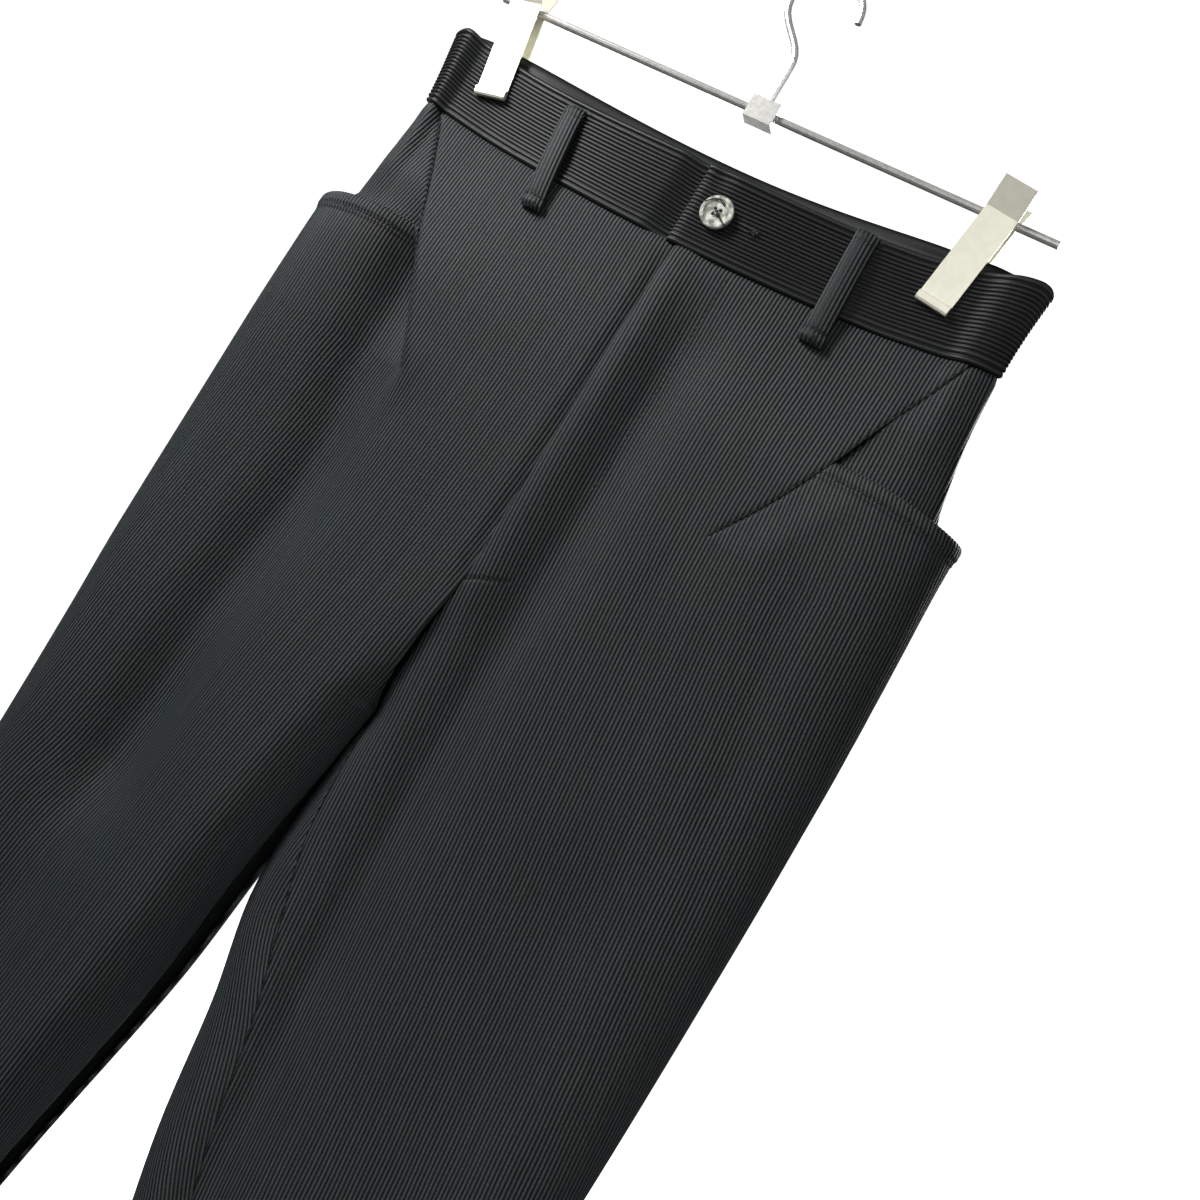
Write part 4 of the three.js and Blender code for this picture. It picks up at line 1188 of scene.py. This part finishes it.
def tinted(tone, factors=(1, 1, 1)):
    return (*[c * f for c, f in zip(tone, factors)], 1)


def rib_material(name, tone, roughness, speckle, specular, groove_shade_from, full_at):
    """Ribbed cloth: grooves painted dark as shade, paler cord tops, fine cross threads and a little colour
    drift.
    """
    finish = Finish(name)
    uv = finish.node("UVMap", {}, uv_map="cloth")
    across = finish.node("SeparateXYZ", {0: uv})
    fraction = finish.math("FRACT", finish.math("MULTIPLY", across, 1000 / RIB["pitch"]))
    away = finish.math("ABSOLUTE", finish.math("SUBTRACT", fraction, 0.5))
    # Painted shade: 1 on a cord's top and 0 towards its grooves, where the cloth is darkened to near black
    top = finish.spread(away, groove_shade_from, full_at)
    thread = finish.noise(finish.stretched(uv, 0.55), CLOTH_SCALES["thread"], 2)
    speckles = finish.spread(thread, 0.32, 0.72, 1 - speckle, 1 + speckle)
    drift = finish.noise(uv, CLOTH_SCALES["drift"])
    tint = finish.blend(drift, tinted(tone, WARM), tinted(tone, COOL))
    streak = finish.noise(finish.stretched(uv, 0.05), CLOTH_SCALES["streak"])
    uneven = finish.math("MULTIPLY", finish.spread(streak, 0.3, 0.7, 0.86, 1.15), speckles)
    cords = finish.blend(top, tinted(GROOVE_SHADE_TONE), tint)
    finish.shade(Base_Color=finish.blend(1.0, cords, uneven, "MULTIPLY"), Roughness=roughness,
                 Specular_IOR_Level=specular, Normal=finish.bump(thread, 0.35, 0.0002))
    return finish.material


def wavering_material(name, dark, light, scale, roughness, metallic=0.0, bump=0.0):
    """A finish that wavers finely between two tones."""
    finish = Finish(name)
    noise = finish.noise(finish.node("TexCoord", {}, "Object"), scale)
    tone = finish.blend(finish.spread(noise, 0.38, 0.62), tinted(dark), tinted(light))
    finish.shade(Base_Color=tone, Metallic=metallic, Roughness=roughness)
    if bump:
        finish.shade(Normal=finish.bump(noise, bump, 0.0001))
    return finish.material


def give(piece, material):
    piece.data.materials.clear()
    piece.data.materials.append(material)


def settle(made, node, cloths, slot):
    """Gives a cloth piece its finish and body, and hides the solid that it replaces."""
    piece, cut, sewing = made
    give(piece, cloths[slot])
    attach(piece, "root")
    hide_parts(node)


def dress():
    cloths = {name: rib_material(f"{name}_finish", **spec) for name, spec in CLOTHS.items()}
    hard = {name: wavering_material(f"{name}_finish", **spec) for name, spec in HARD_FINISHES.items()}
    for side in SIDES:
        for kind, make in (("front", make_front), ("yoke", make_yoke), ("back", make_back)):
            settle(make(side), f"{kind}_{side}", cloths, "ribbed_cloth")
    for made, node in zip(make_bands(), ("waistband_left", "waistband_right", "waistband_back")):
        settle(made, node, cloths, "waistband_cloth")
    make_buttonhole()
    for name, spec in LOOPS.items():
        settle(make_loop(name, **spec), name, cloths, "ribbed_cloth")
    for name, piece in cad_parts.items():
        for start, finish in HARD_NODES.items():
            if name.startswith(start):
                give(piece, hard[finish])


def place_camera():
    """The photo's camera, from the sizes named in CAMERA."""
    a, e, r = (math.radians(CAMERA[k]) for k in ("azimuth", "elevation", "roll"))
    back = Vector((math.sin(a) * math.cos(e), -math.cos(a) * math.cos(e), math.sin(e)))
    right = Vector((0, 0, 1)).cross(back).normalized()
    up = back.cross(right)
    picture_right = math.cos(r) * right + math.sin(r) * up
    picture_up = -math.sin(r) * right + math.cos(r) * up
    target = Vector((CAMERA["target_x"], 0, CAMERA["target_level"] - HOOK_RISE)) / 1000
    data = bpy.data.cameras.new("camera")
    data.sensor_width = 36.0
    data.lens = data.sensor_width * CAMERA["focal_px"] / CAMERA["frame_px"]
    data.clip_start = 0.02
    camera = bpy.data.objects.new("camera", data)
    turn = Matrix((picture_right, picture_up, back)).transposed()
    camera.matrix_world = Matrix.Translation(target + back * CAMERA["distance"] / 1000) @ turn.to_4x4()
    bpy.context.scene.collection.objects.link(camera)
    bpy.context.scene.camera = camera


def area_light(name, place, target, size, power, spread=180):
    data = bpy.data.lights.new(name, "AREA")
    data.size = size
    data.energy = power
    data.spread = math.radians(spread)
    light = bpy.data.objects.new(name, data)
    light.visible_camera = False
    light.location = place
    light.rotation_euler = (Vector(target) - Vector(place)).to_track_quat("-Z", "Y").to_euler()
    bpy.context.scene.collection.objects.link(light)


def backdrop_mesh(floor_level):
    """A round floor that curves up into a wall all round."""
    radius, height, turn, sides = (STUDIO[key] for key in ("radius", "height", "turn", "sides"))
    profile = [(0.5, floor_level)]
    profile += [(radius - turn * (1 - math.sin(t)), floor_level + turn * (1 - math.cos(t)))
                for t in np.linspace(0, math.pi / 2, 16)]
    profile.append((radius, floor_level + height))
    turns = np.arange(sides) * 2 * math.pi / sides
    points = [(r * math.cos(t), r * math.sin(t), z) for r, z in profile for t in turns]
    faces = ring_faces(len(profile), sides)
    faces.append(tuple(range(sides)))
    mesh = bpy.data.meshes.new("backdrop")
    mesh.from_pydata(points, [], faces)
    return mesh


def set_stage():
    world = bpy.data.worlds.new("studio")
    world.use_nodes = True
    world.node_tree.nodes["Background"].inputs[0].default_value = (1, 1, 1, 1)
    world.node_tree.nodes["Background"].inputs[1].default_value = STUDIO["world"]
    bpy.context.scene.world = world
    bpy.context.scene.view_settings.view_transform = "Standard"
    backdrop = bpy.data.objects.new("backdrop", backdrop_mesh(cad_box[0][2] - STUDIO["drop"]))
    bpy.context.scene.collection.objects.link(backdrop)
    pale = Finish("backdrop_finish")
    pale.shade(Base_Color=(0.9, 0.9, 0.9, 1), Emission_Color=(1, 1, 1, 1), Emission_Strength=1.0)
    give(backdrop, pale.material)
    backdrop.visible_diffuse = False
    backdrop.visible_glossy = False
    backdrop.visible_shadow = False
    for name, spec in LIGHTS.items():
        area_light(name, **spec)


place_camera()
set_stage()
dress()
